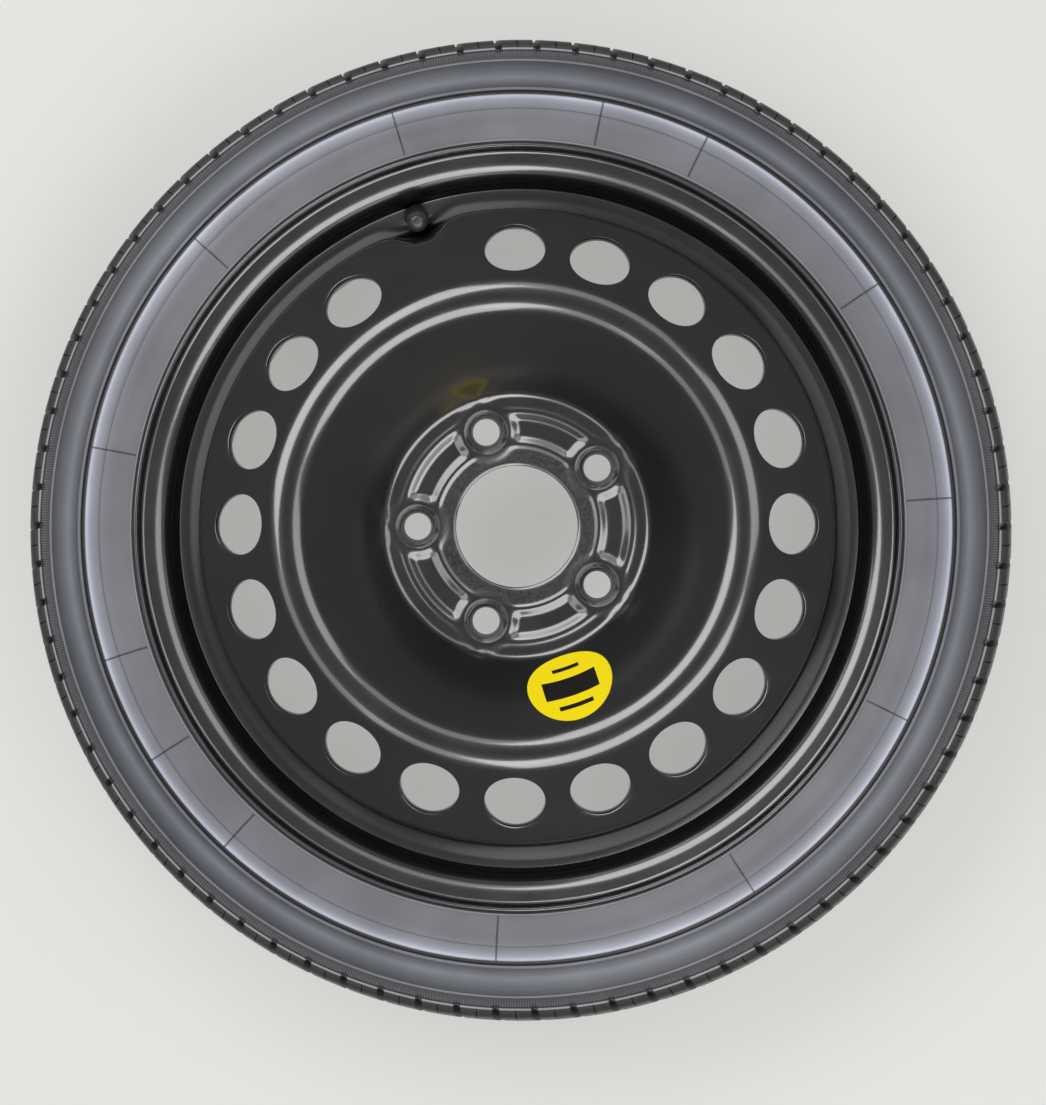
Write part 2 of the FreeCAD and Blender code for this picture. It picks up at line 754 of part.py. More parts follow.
def make_valve(doc, s, p):
    fit = s.stem_fit
    bore = s.insert_radius + fit
    inner_face = -(s.rim_sheet + fit)
    bulb_end = inner_face - s.stem_bulb_length
    neck = s.rim_hole_radius - fit
    stem = [
        (bore, bulb_end, None),
        (s.stem_face_radius, bulb_end, None),
        (s.stem_bulb_radius, inner_face - s.stem_bulb_flare, None),
        (s.stem_face_radius, inner_face, None),
        (neck, inner_face, None),
        (neck, fit, None),
        (s.stem_face_radius, fit, None),
        (s.stem_foot_radius, s.stem_foot_flare, None),
        (s.stem_tip_radius, s.stem_length, None),
        (bore, s.stem_length, None),
    ]
    core_wall = s.core_radius + s.valve_fit / 2
    core_ledge = p.core_foot - s.valve_fit / 2
    insert = [
        (s.insert_bore, bulb_end, None),
        (s.insert_radius, bulb_end, None),
        (s.insert_radius, p.thread_foot, None),
        (s.thread_radius, p.thread_foot, None),
        (s.thread_radius, p.thread_end, None),
        (core_wall, p.thread_end, None),
        (core_wall, core_ledge, None),
        (s.insert_bore, core_ledge, None),
    ]
    core_top = p.core_foot + s.core_length
    core = [
        (s.core_bore, p.core_foot, None),
        (s.core_radius, p.core_foot, None),
        (s.core_radius, core_top, None),
        (s.core_bore, core_top, None),
    ]
    pin = [
        (0, p.plunger_top - s.plunger_length, None),
        (s.plunger_radius, p.plunger_top - s.plunger_length, None),
        (s.plunger_radius, p.plunger_top, None),
        (s.pin_radius, p.plunger_top, None),
        (s.pin_radius, core_top + s.pin_proud, None),
        (0, core_top + s.pin_proud, None),
    ]
    seal_bore = s.pin_radius + s.valve_fit / 4
    seal_foot = p.plunger_top + s.valve_fit / 4
    plunger_seal = [
        (seal_bore, seal_foot, None),
        (s.plunger_radius, seal_foot, None),
        (s.plunger_radius, seal_foot + s.plunger_seal_length, None),
        (seal_bore, seal_foot + s.plunger_seal_length, None),
    ]
    cap_bore = s.thread_radius + s.valve_fit
    cap_foot = p.thread_foot + s.valve_fit
    cap_roof = p.thread_end + s.cap_seal_thickness + s.valve_fit * 2
    cap = [
        (cap_bore, cap_foot, None),
        (s.cap_radius, cap_foot, None),
        (s.cap_tip_radius, cap_roof + s.cap_top, s.cap_round),
        (0, cap_roof + s.cap_top, None),
        (0, cap_roof, None),
        (cap_bore, cap_roof, None),
    ]
    seal_low = p.thread_end + s.valve_fit
    cap_seal = [
        (0, seal_low, None),
        (s.thread_radius, seal_low, None),
        (s.thread_radius, seal_low + s.cap_seal_thickness, None),
        (0, seal_low + s.cap_seal_thickness, None),
    ]
    pieces = {
        "valve_stem": stem,
        "valve_insert": insert,
        "core_body": core,
        "core_pin": pin,
        "plunger_seal": plunger_seal,
        "valve_cap": cap,
        "cap_seal": cap_seal,
    }
    return [make_valve_piece(doc, s, p, label, corners) for label, corners in pieces.items()]


# Label

def make_label(doc, s):
    """A round sticker on the wall of the bowl: a thin conical skin trimmed by a cylinder."""
    rise = s.crown_height - s.disc_sheet
    lean = slope_angle(rise, s.crown_radius - s.pad_radius)
    reach = s.label_radius * LABEL_CONE_MARGIN * sine(lean)
    centre_height = s.disc_sheet + (s.label_circle - s.pad_radius) * tangent(lean)

    def cone(name, clearance):
        skin = doc.addObject("Part::Cone", name)
        shrink = clearance / sine(lean)
        half_run = reach / tangent(lean)
        skin.setExpression("Radius1", (s.label_circle - half_run - shrink).text)
        skin.setExpression("Radius2", (s.label_circle + half_run - shrink).text)
        skin.setExpression("Height", (reach * 2).text)
        skin.setExpression("Placement.Base.z", (centre_height - reach).text)
        return skin

    skin = doc.addObject("Part::Cut", "label_skin")
    skin.Base = cone("label_back", s.label_gap)
    skin.Tool = cone("label_front", s.label_gap + s.label_thickness)
    cutter = doc.addObject("Part::Cylinder", "label_cutter")
    cutter.setExpression("Radius", s.label_radius.text)
    cutter.setExpression("Height", (s.label_radius * 2).text)
    cutter.Placement.Rotation = FreeCAD.Rotation(FreeCAD.Vector(0, -1, 0), lean.value)
    cutter.setExpression("Placement.Rotation.Angle", lean.text)
    cutter.setExpression("Placement.Base.x", (s.label_circle + s.label_radius * sine(lean)).text)
    cutter.setExpression("Placement.Base.z", (centre_height - s.label_radius * cosine(lean)).text)
    label = doc.addObject("Part::Common", "speed_label")
    label.Label = "speed_label"
    label.Base = skin
    label.Tool = cutter
    turn_to_place(label, s.label_angle)
    return label


def check_and_write(doc, parts):
    for item in doc.Objects:
        if "Invalid" in item.State or "Error" in item.State:
            raise RuntimeError(f"{item.Name} failed to compute: {item.State}")
    for part in parts:
        if part.Shape.isNull() or not part.Shape.isValid():
            raise RuntimeError(f"{part.Label} has no valid shape")
        if not part.Shape.Solids:
            raise RuntimeError(f"{part.Label} has no solid")
    os.makedirs("parts", exist_ok=True)
    for part in parts:
        part.Shape.exportStep(f"parts/{part.Label}.step")
        count = len(part.Shape.Solids)
        print(f"{part.Label}: {count} solid(s), {part.Shape.Volume / 1000.0:.1f} cm3")


def main():
    doc = FreeCAD.newDocument("spare_wheel")
    s = make_sheet(doc)
    p = shared_places(s)
    parts = [make_tyre(doc, s, p), make_rim(doc, s, p), make_disc(doc, s, p), make_welds(doc, s, p)]
    parts += make_valve(doc, s, p)
    parts.append(make_label(doc, s))
    doc.recompute()
    check_and_write(doc, parts)


main()
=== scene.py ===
import json
import math
import bmesh
import bpy
from mathutils import Matrix, Vector


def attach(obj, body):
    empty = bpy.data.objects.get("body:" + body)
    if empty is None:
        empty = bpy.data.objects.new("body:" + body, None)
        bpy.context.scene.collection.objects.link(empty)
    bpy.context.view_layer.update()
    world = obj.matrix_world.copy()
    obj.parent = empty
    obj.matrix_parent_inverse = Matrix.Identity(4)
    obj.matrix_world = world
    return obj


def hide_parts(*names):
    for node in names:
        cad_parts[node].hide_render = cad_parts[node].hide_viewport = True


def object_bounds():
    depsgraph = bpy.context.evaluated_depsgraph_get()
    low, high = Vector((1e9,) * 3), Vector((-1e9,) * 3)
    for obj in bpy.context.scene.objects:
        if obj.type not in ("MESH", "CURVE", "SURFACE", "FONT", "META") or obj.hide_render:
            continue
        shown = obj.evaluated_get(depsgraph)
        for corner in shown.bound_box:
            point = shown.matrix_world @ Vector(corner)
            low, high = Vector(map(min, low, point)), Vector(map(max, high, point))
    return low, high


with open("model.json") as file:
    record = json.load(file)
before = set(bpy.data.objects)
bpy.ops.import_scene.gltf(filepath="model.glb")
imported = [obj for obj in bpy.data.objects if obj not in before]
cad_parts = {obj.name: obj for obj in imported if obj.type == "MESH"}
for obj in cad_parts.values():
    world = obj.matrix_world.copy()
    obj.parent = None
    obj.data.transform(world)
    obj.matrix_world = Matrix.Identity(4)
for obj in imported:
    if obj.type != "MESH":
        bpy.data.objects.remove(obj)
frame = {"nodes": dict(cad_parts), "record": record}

# Looks of the spare wheel. It lies on its inboard sidewall, street side up, as in the frame:
# origin at the centre of the hub face, +Z along the wheel's axis. Sizes below are millimetres.
cad_low, cad_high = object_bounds()

MM = 0.001
FULL_TURN = 2 * math.pi
# Points this close are one, and a radius read back from a mesh may be off by as much
MERGE_DISTANCE = 0.01
# Longest step along a round, unless a piece has its own
ARC_STEP = math.radians(11)
# Faces round a small bore
BORE_STEPS = 48
# Edges flatter than this, in degrees, are shaded smooth
SMOOTH_ANGLE = 40
# Edges sharper than this are bevelled
BEVEL_ANGLE = math.radians(60)

# Rim and tyre are drawn about the rim's centre plane, which lies this far below the hub face
RIM_OFFSET = 41.0
VALVE_ANGLE = math.radians(108)

# Tyre: radius at the middle of the tread, arc across the tread and how far from the middle it reaches
TYRE_RADIUS = 290.7
CROWN_ARC = 150.0
ARC_HALF_WIDTH = 40.8
SHOULDER = (283.35, 46.8)
SHOULDER_ROUND = 6.0
TYRE_SMOOTH_ANGLE = 35
# Corners of the outer sidewall, then of the inside and the bead: radius, level and round
WALL_FOOT = (220.6, 57.6)
WALL_CORNERS = [
    (*WALL_FOOT, None), (234.0, 62.5, 16), (249.5, 61.3, 40), (270.7, 55.3, 60), (*SHOULDER, None),
]
WALL_ARC_STEP = math.radians(2)
BEAD_CORNERS = [
    (278.7, 40.8, 9), (249.5, 54.8, 20), (234.0, 53.0, 12), (201.8, 35.5, 1.5),
    (203.1, 50.5, 6.5), (217.46, 50.5, 9.8), (*WALL_FOOT, None),
]
BEAD_ARC_STEP = math.radians(30)
# Rings moulded on the sidewall: radius, width and rise, with a sloping flank on both sides
WALL_RINGS = [
    (222.2, 0.9, 0.6), (239.9, 0.4, -0.3), (249.5, 1.3, -1.3), (251.6, 1.2, 0.5),
    (269.2, 1.0, 0.7), (277.1, 0.7, 0.5),
]
RING_FLANK = 0.45
# Plain points of the sidewall: their spacing, and how far they keep from a ring and from the shoulder
WALL_STEP = 4.4
RING_MARGIN = 0.2
SHOULDER_MARGIN = 2.5
# Lines moulded across the sidewall between the panels: angles in degrees, reach, width and rise
PANEL_LINES = (3.5, 33.6, 63.7, 78.3, 106.7, 138.2, 169.5, 198.2, 212.8, 227.8, 267.4, 303, 333.4)
PANEL_LINE_REACH = (222.9, 248.6)
PANEL_LINE_WIDTH = 1.0
PANEL_LINE_RISE = 0.25
# Shallow band where the real tyre has raised letters: middle radius, half width and dip
LETTER_BAND = (260.0, 7.5, 0.8)
# The panel rolls down towards the groove: from radius, to radius, drop, then back over the letter band
GROOVE_ROLL = (243.5, 249.2, 0.8)
ROLL_END = (252.0, 262.0)
# Grooves round the tread: half width at the top and at the floor, depth, then levels and broken edge
TREAD_GROOVE = (3.5, 3.1, 4.8)
TREAD_GROOVE_LEVELS = (23.0, 0.0)
GROOVE_EDGE_WIDTH = 0.5
GROOVE_EDGE_DROP = 0.4
# Levels of the points on the rib at the shoulder and on the rib between two grooves
SHOULDER_RIB_LEVELS = (44, 40, 36, 34.2, 33.6, 30)
INNER_RIB_LEVELS = (17.4, 12, 5.6)
# Slots over the shoulder: their floor runs from the foot to the end, each a radius and a level
SLOT_COUNT = 78
SLOT_HALF_WIDTH = 2.2
SLOT_WALL_LEAN = 0.5
SLOT_FOOT = (274.9, 55.3)
SLOT_END = (284.2, 26.3)
# How far inside its foot a slot may still cut, where the sidewall bulges past its floor
SLOT_RUN_OUT = 2.0
# The tread's blocks lean: turn in degrees for each millimetre below the slot's foot
BLOCK_LEAN = 0.039
# Fine cuts between the slots: half width, depth, and the levels between which they run
SIPE_HALF_WIDTH = 0.35
SIPE_DEPTH = 1.8
SHOULDER_SIPE = (36.0, 49.5)
RIB_SIPE = (5.5, 17.5)
# A column of the tread is found again in the mesh by its angle, within this much
SAME_ANGLE = 1e-5

# Disc: the edge of the pad, the crown and the outer edge are each a radius, a height and a round
DISC_SHEET = 3.5
BORE_RADIUS = 35.15
PAD_RADIUS = 76.0
PAD_EDGE = (PAD_RADIUS, DISC_SHEET, 7.0)
CROWN = (127.0, 53.0, 18.0)
DISC_RADIUS = 182.95
DISC_EDGE = (DISC_RADIUS, 18.04, 7.0)
DISC_FLANGE_END = -33.0
SHEET_EDGE_ROUND = 0.6
SHEET_EDGE_STEPS = 2
BOWL_ARC_STEP = math.radians(7)
FLANGE_ARC_STEP = math.radians(8)
# Longest steps of the profile in its zones from the bore outwards
PAD_STEP = 1.15
DART_STEP = 2.6
BOWL_STEP = 12.0
FLANGE_STEP = 6.0
# The pad's and the darts' zones end this far past their pressings, and the next ones start after a gap
ZONE_REACH = 2.0
DART_ZONE_GAP = 1.0
BOWL_ZONE_GAP = 2.0
# Vents: places for them, of which the one at the valve stays plain, in cells between two radii
VENT_POSITIONS = 20
VENT_CIRCLE = 157.0
VENT_RADIUS = 17.2
CELL_INNER = 140.5
CELL_OUTER = 178.5
RING_SLOPE = math.radians(32)
CELL_SIDE = 20
CELL_CUTS = 4
# An edge counts as part of a ring within this distance of its radius
RING_TOLERANCE = 0.05
BOLT_COUNT = 5
BOLT_CIRCLE = 57.5
BOLT_FIRST = math.radians(36)
# Slopes of the pad's pressings, from radius to radius, and from the bolt's centre for the moat
BORE_EDGE = (BORE_RADIUS, 37.6)
BORE_EDGE_DROP = 0.7
INNER_VALLEY = (44.6, 47.8)
BAND_INNER = (47.2, 53.8)
BAND_OUTER = (60.6, 66.8)
OUTER_VALLEY = (67.0, 70.6)
VALLEY_DEPTH = 0.8
BAND_HEIGHT = 1.2
MOAT_EDGE = (13.4, 20.6)
# Dart in the foot of the bowl outwards of each bolt: it widens as it goes up the wall and fades out
DART_FOOT = (73.0, 77.0)
DART_FADE = (79.0, 88.0)
DART_SPREAD = 1.1
DART_EDGE = 1.8
DART_SOFTENING = 0.5
DART_DEPTH = 0.45
# Bolt seats: a coned seat in a collar that stands in a drilled hole of the sheet
BOLT_HOLE_RADIUS = 7.8
BOLT_SEAT_RADIUS = 10.0
BOLT_SEAT_CONE = math.radians(30)
SEAT_ROUND = 0.8
COLLAR_HEIGHT = 3.5
COLLAR_TOP_RADIUS = 10.8
COLLAR_TOP_ROUND = 0.35
COLLAR_RADIUS = 13.0
COLLAR_FOOT = -0.6
DRILL_RADIUS = 9.4
DRILL_LEVELS = (-5, 15)
# Flute that makes room for the valve: radius, room behind the valve's axis and softness of its edges.
# It fades in along the axis, and out sideways between shares of its radius
FLUTE_RADIUS = 24.0
FLUTE_CLEARANCE = 9.4
FLUTE_SOFTNESS = 3.0
FLUTE_FADE_IN = (-8, 2)
FLUTE_FADE_OUT = (0.75, 1.3)
FLUTE_SIDE_LIMIT = 1.5
FLUTE_INNER_RADIUS = 147.0

# Rim: corners of the tyre side, radius, level and round
RIM_SHEET = 2.5
RIM_CORNERS = [
    (220.1, 61.5, None), (220.1, 52.2, 6.0), (202.8, 48.6, 12.0), (201.24, 33.0, 4.0),
    (193.4, 30.95, 40.0), (185.6, 28.0, 4.0), (185.6, -8.0, 4.0), (200.2, -21.0, 4.0),
    (202.8, -50.8, 6.5), (220.1, -50.8, 9.5), (220.1, -61.5, None),
]
RIM_STEPS = 256
RIM_LIP_ROUND = 1.1
RIM_LIP_STEPS = 4
RIM_HOLE_RADIUS = 5.85
RIM_HOLE_DEPTH = RIM_SHEET * 4

# Valve: its axis leaves the rim square to the slope beside the well
VALVE_FOOT = (192.66, 32.88 - RIM_OFFSET)
VALVE_TILT = math.radians(17.73)
# Stem from the bulb inside the rim to the end of its body: radius, height along the axis and round
STEM_BORE = 3.15
STEM_BULB_END = -9.15
STEM_LENGTH = 20.5
STEM_CORNERS = [
    (STEM_BORE, STEM_BULB_END, None), (6.1, STEM_BULB_END, 0.8), (8.0, -5.65, 0.8), (6.1, -2.65, 0.3),
    (5.7, -2.65, None), (5.7, 0.15, None), (6.1, 0.15, 0.3), (7.0, 2.5, 0.8), (5.2, STEM_LENGTH, 0.8),
    (STEM_BORE, STEM_LENGTH, None),
]
STEM_STEPS = 64
INSERT_BORE = 1.75
INSERT_RADIUS = 3.0
INSERT_FOOT = STEM_BULB_END
THREAD_FOOT = 20.8
THREAD_END = 31.8
THREAD_ROOT = 3.4
THREAD_RADIUS = 3.85
THREAD_PITCH = 0.8
THREAD_STEPS = 32
# Slope under the thread, bevel at its end, and how much of its length has no ridge
THREAD_RUN_IN = 0.3
THREAD_BEVEL = 0.4
THREAD_PLAIN_ENDS = 1.4
# Ridge: its start above the foot, how deep it sits in the root, and its corners in shares of the pitch
RIDGE_START = 0.6
RIDGE_SINK = 0.1
RIDGE_TIP = (0.4, 0.5)
RIDGE_FAR_FOOT = 0.9
CORE_WALL = 2.6
CORE_LEDGE = 22.3
CAP_FOOT = 21.0
CAP_ROOF = 33.0
CAP_TOP = 34.5
CAP_STEP = 30.5
CAP_BORE = 4.05
CAP_RADIUS = 5.85
CAP_NECK_RADIUS = 5.2
CAP_TIP_RADIUS = 4.6
CAP_DOME = 3.6
# Cap from the middle of its top, down the outside and up the bore: radius, height along the axis and round
CAP_CORNERS = [
    (0, CAP_TOP, None), (CAP_TIP_RADIUS, CAP_TOP, CAP_DOME), (CAP_NECK_RADIUS, CAP_STEP, None),
    (CAP_RADIUS, CAP_STEP - 0.6, 0.5), (CAP_RADIUS, CAP_FOOT, 0.4), (CAP_BORE, CAP_FOOT, None),
    (CAP_BORE, CAP_ROOF, None), (0, CAP_ROOF, None),
]
CAP_PROFILE_STEP = 2.5
# Ribs of the cap's skirt: columns of points for each, depth of the grooves, and where they end under the step
CAP_RIBS = 24
CAP_RIB_COLUMNS = 4
CAP_RIB_DEPTH = 0.3
CAP_RIB_END = 1.2
CAP_SKIN = 0.3

# Label
LABEL_ANGLE = math.radians(289)
LABEL_CIRCLE = 97.4
LABEL_RADIUS = 25.0
LABEL_THICKNESS = 0.3
LABEL_GAP = 0.05
LABEL_STEPS = 96
# Plain printed bars: centre across, centre outwards, half width, half height
LABEL_BARS = [(0, -14.5, 8, 1.4), (0, 0, 16, 7), (0, 14.5, 10, 1.6)]

# Colours of the rubber from the rim line out to the tread: radius, colour. Most of them are painted light and
# shade, not the rubber's own tone: painted shade as dark lines in the gap at the rim line and in the grooves
# beside the rings, and over the shoulder and tread; painted highlights as light lines on the rings and on the
# edge at the rim line, before the groove at 249.5 mm and across the middle of the letter band
RUBBER_TONES_AND_PAINTED_LIGHT = [
    (218, "#101010"), (221, "#141415"), (221.8, "#85868d"), (223.2, "#67676c"), (230, "#6b6b71"),
    (239.4, "#6e6e76"), (239.8, "#434346"), (240.2, "#75757e"), (243, "#7a7b84"), (245.4, "#9092a0"),
    (247.4, "#b9bac8"), (248.5, "#19191b"), (250.3, "#19191b"), (250.9, "#6a6b72"), (252.4, "#6a6b72"),
    (252.9, "#3a3b3e"), (254, "#4b4c52"), (258.3, "#6b6d77"), (262.7, "#50525a"), (267, "#3d3e42"),
    (268.3, "#3d3e42"), (268.8, "#7c7d84"), (269.7, "#7c7d84"), (270.3, "#4d4d50"), (275.3, "#5c5c5f"),
    (275.8, "#2a2a2b"), (276.4, "#2e2e2f"), (276.9, "#a4a4a7"), (277.5, "#a4a4a7"), (278.1, "#2b2b2b"),
    (292, "#2f2f2f"),
]
# How dark the painted shade is in the slots, the sipes and the lines across the panels
PAINTED_SHADE_DEPTH = 0.72
# Size of the rubber's cloudy marks, and the size and height of its grain
RUBBER_CLOUD_SIZE = 45
RUBBER_GRAIN = (0.7, 0.05)
# Size of the paint's dull patches, and the size and height of its orange peel
PAINT_HAZE_SIZE = 30
PAINT_PEEL = (3.0, 0.0015)
# Rubbed ring of paint round the bore: middle radius, half width, and the size of its marks
SCUFF_RING = (41.6, 4.4)
SCUFF_SIZE = 1.4
# Knurled ring under the shoulder: from radius to radius, number of ridges, height, and the contrast of the
# stripes of painted light and shade along its ridges
KNURL_RING = (270.6, 275.4)
KNURL_COUNT = 1150
KNURL_HEIGHT = 0.2
KNURL_PAINTED_LIGHT_CONTRAST = 0.35

# Stage: camera in millimetres from the fit to the photograph's rings, lights in metres and watts
CAMERA_PLACE = (41.14, -49.06, 1200)
CAMERA_AIM = (3.52, -15.11, 0)
CAMERA_LENS = 67.371
CAMERA_SENSOR = 36
SKY_GLOW = 0.19
FLOOR_SIZE = 40
# Share of the floor's own glow in what the camera, reflections and clear pieces see of it
FLOOR_GLOW = 0.5
# Soft boxes, all as high and as far from the axis: name, angle round the wheel, width, depth, power
BOX_HEIGHT = 1.5
BOX_DISTANCE = 1.1
SOFT_BOXES = [
    ("upper_left_box", 137, 1.7, 0.9, 19), ("lower_right_box", 300, 1.7, 0.9, 18),
    ("top_box", 75, 1.0, 0.6, 2.2), ("left_box", 210, 1.0, 0.6, 2.2),
    ("right_box", 20, 1.0, 0.9, 6), ("low_box", 250, 1.0, 0.6, 2.2),
]


# Modelling helpers

def start_mesh(name, primitive, **settings):
    """A new primitive, alone in the selection and open in edit mode with all of it selected."""
    if bpy.context.object and bpy.context.object.mode != "OBJECT":
        bpy.ops.object.mode_set(mode="OBJECT")
    bpy.ops.object.select_all(action="DESELECT")
    primitive(**settings)
    piece = bpy.context.object
    piece.name = name
    piece.data.name = name
    bpy.ops.object.mode_set(mode="EDIT")
    bpy.ops.mesh.select_mode(type="VERT")
    bpy.ops.mesh.select_all(action="SELECT")
    return piece


def rounded(corners, step=ARC_STEP):
    """Points along a chain of corners (x, y, round), with every round drawn as an arc."""
    points = []
    for index, (x, y, size) in enumerate(corners):
        corner = Vector((x, y))
        if not size:
            points.append(corner)
            continue
        back = (Vector(corners[index - 1][:2]) - corner).normalized()
        ahead = (Vector(corners[index + 1][:2]) - corner).normalized()
        half = back.angle(ahead) / 2
        centre = corner + (back + ahead).normalized() * (size / math.sin(half))
        first = corner + back * (size / math.tan(half)) - centre
        last = corner + ahead * (size / math.tan(half)) - centre
        start = math.atan2(first.y, first.x)
        turn = math.remainder(math.atan2(last.y, last.x) - start, FULL_TURN)
        count = max(1, math.ceil(abs(turn) / step))
        for number in range(count + 1):
            angle = start + turn * number / count
            points.append(centre + size * Vector((math.cos(angle), math.sin(angle))))
    return points


def trace(name, points, closed=False):
    """A chain of edges in the XZ plane through (radius, height) points in millimetres."""
    piece = start_mesh(name, bpy.ops.mesh.primitive_plane_add, size=MM)
    bpy.ops.mesh.merge(type="CENTER")
    bpy.ops.transform.translate(value=(points[0][0] * MM, 0, points[0][1] * MM))
    ends = list(points[1:]) + ([points[0]] if closed else [])
    place = points[0]
    for point in ends:
        step = ((point[0] - place[0]) * MM, 0, (point[1] - place[1]) * MM)
        bpy.ops.mesh.extrude_vertices_move(TRANSFORM_OT_translate={"value": step})
        place = point
    bpy.ops.mesh.select_all(action="SELECT")
    if closed:
        bpy.ops.mesh.remove_doubles(threshold=MERGE_DISTANCE * MM)
    return piece


def weld():
    """Merges what lies together in the open mesh and points its faces outwards."""
    bpy.ops.mesh.select_all(action="SELECT")
    bpy.ops.mesh.remove_doubles(threshold=MERGE_DISTANCE * MM)
    bpy.ops.mesh.normals_make_consistent(inside=False)


def spin(steps, angle, copies=False):
    """Turns what is selected round the Z axis, as a surface or as copies."""
    bpy.ops.mesh.spin(steps=steps, angle=angle, dupli=copies, center=(0, 0, 0), axis=(0, 0, 1))


def lathe(name, points, steps, closed=True):
    """A profile of (radius, height) points turned round the Z axis."""
    piece = trace(name, points, closed)
    spin(steps, FULL_TURN)
    weld()
    bpy.ops.object.mode_set(mode="OBJECT")
    return piece


def apply_modifier(piece, kind, **settings):
    """Adds a modifier with its settings and applies it."""
    modifier = piece.modifiers.new(kind.title(), kind)
    for name, value in settings.items():
        setattr(modifier, name, value)
    bpy.context.view_layer.objects.active = piece
    bpy.ops.object.modifier_apply(modifier=modifier.name)


def cut(piece, cutter):
    """Cuts a piece with a closed one, which is used up."""
    apply_modifier(piece, "BOOLEAN", operation="DIFFERENCE", object=cutter, solver="MANIFOLD")
    bpy.data.objects.remove(cutter)


def put(piece, place, turn):
    """Moves a finished piece to its place and bakes that into its mesh."""
    piece.data.transform(Matrix.Translation(place) @ turn.to_4x4())
    piece.data.update()


def smooth(piece, angle=SMOOTH_ANGLE):
    """Shades a piece smooth, apart from edges sharper than an angle in degrees."""
    bpy.ops.object.select_all(action="DESELECT")
    piece.select_set(True)
    bpy.context.view_layer.objects.active = piece
    bpy.ops.object.shade_smooth_by_angle(angle=math.radians(angle))


def join(piece, others):
    """Joins other pieces into a piece, which keeps its name."""
    bpy.ops.object.select_all(action="DESELECT")
    for other in others:
        other.select_set(True)
    piece.select_set(True)
    bpy.context.view_layer.objects.active = piece
    bpy.ops.object.join()
    return piece


def blend(low, high, value):
    """0 below low, 1 above high and a smooth step between."""
    share = min(1.0, max(0.0, (value - low) / (high - low)))
    return share * share * (3 - 2 * share)


def outwards(angle):
    """The direction away from the wheel's axis at an angle round it."""
    return Vector((math.cos(angle), math.sin(angle), 0))


# Tyre

def tread_radius(level):
    """Radius of the tread at a level: one arc across, straight beyond it."""
    edge = min(abs(level), ARC_HALF_WIDTH)
    arc = TYRE_RADIUS - CROWN_ARC + math.sqrt(CROWN_ARC ** 2 - edge ** 2)
    slope = ARC_HALF_WIDTH / math.sqrt(CROWN_ARC ** 2 - ARC_HALF_WIDTH ** 2)
    return arc - (abs(level) - edge) * slope


def wall_points():
    """The outer sidewall: a smooth curve with the moulded rings standing on it."""
    curve = rounded(WALL_CORNERS, WALL_ARC_STEP)
    start = WALL_FOOT[0]
    count = int((SHOULDER[0] - SHOULDER_MARGIN - start) / WALL_STEP)
    radii = {start + WALL_STEP * number for number in range(count + 1)}
    for radius, width, _ in WALL_RINGS:
        near = radius - width / 2 - RING_FLANK - RING_MARGIN
        far = radius + width / 2 + RING_FLANK + RING_MARGIN
        radii = {r for r in radii if not near < r < far}
    for radius, width, _ in WALL_RINGS:
        for side in (-1, 1):
            radii |= {radius + side * width / 2, radius + side * (width / 2 + RING_FLANK)}
    points = []
    for radius in sorted(radii):
        low = max(p for p in range(len(curve) - 1) if curve[p].x < radius + MERGE_DISTANCE)
        share = (radius - curve[low].x) / (curve[low + 1].x - curve[low].x)
        level = curve[low].y + share * (curve[low + 1].y - curve[low].y)
        for ring, width, rise in WALL_RINGS:
            reach = (width / 2 + RING_FLANK - abs(radius - ring)) / RING_FLANK
            level += rise * min(1.0, max(0.0, reach))
        middle, half_width, dip = LETTER_BAND
        level -= dip * (1 - blend(0, half_width, abs(radius - middle)))
        level -= GROOVE_ROLL[2] * blend(*GROOVE_ROLL[:2], radius) * (1 - blend(*ROLL_END, radius))
        points.append(Vector((radius, level)))
    return points


def tread_points():
    """The tread from the shoulder to the centre plane, with its grooves."""
    top, floor, depth = TREAD_GROOVE
    levels = [(level, 0) for level in SHOULDER_RIB_LEVELS]
    for centre in TREAD_GROOVE_LEVELS:
        levels += [(centre + top + GROOVE_EDGE_WIDTH, 0), (centre + top, GROOVE_EDGE_DROP)]
        levels += [(centre + floor, depth)]
        if centre:
            levels += [(centre - floor, depth), (centre - top, GROOVE_EDGE_DROP)]
            levels += [(centre - top - GROOVE_EDGE_WIDTH, 0)]
            levels += [(level, 0) for level in INNER_RIB_LEVELS]
    return [Vector((tread_radius(level) - drop, level)) for level, drop in levels]


def slot_floor(level):
    """Radius of the floor of a shoulder slot at a level."""
    share = (SLOT_FOOT[1] - abs(level)) / (SLOT_FOOT[1] - SLOT_END[1])
    return SLOT_FOOT[0] + share * (SLOT_END[0] - SLOT_FOOT[0])


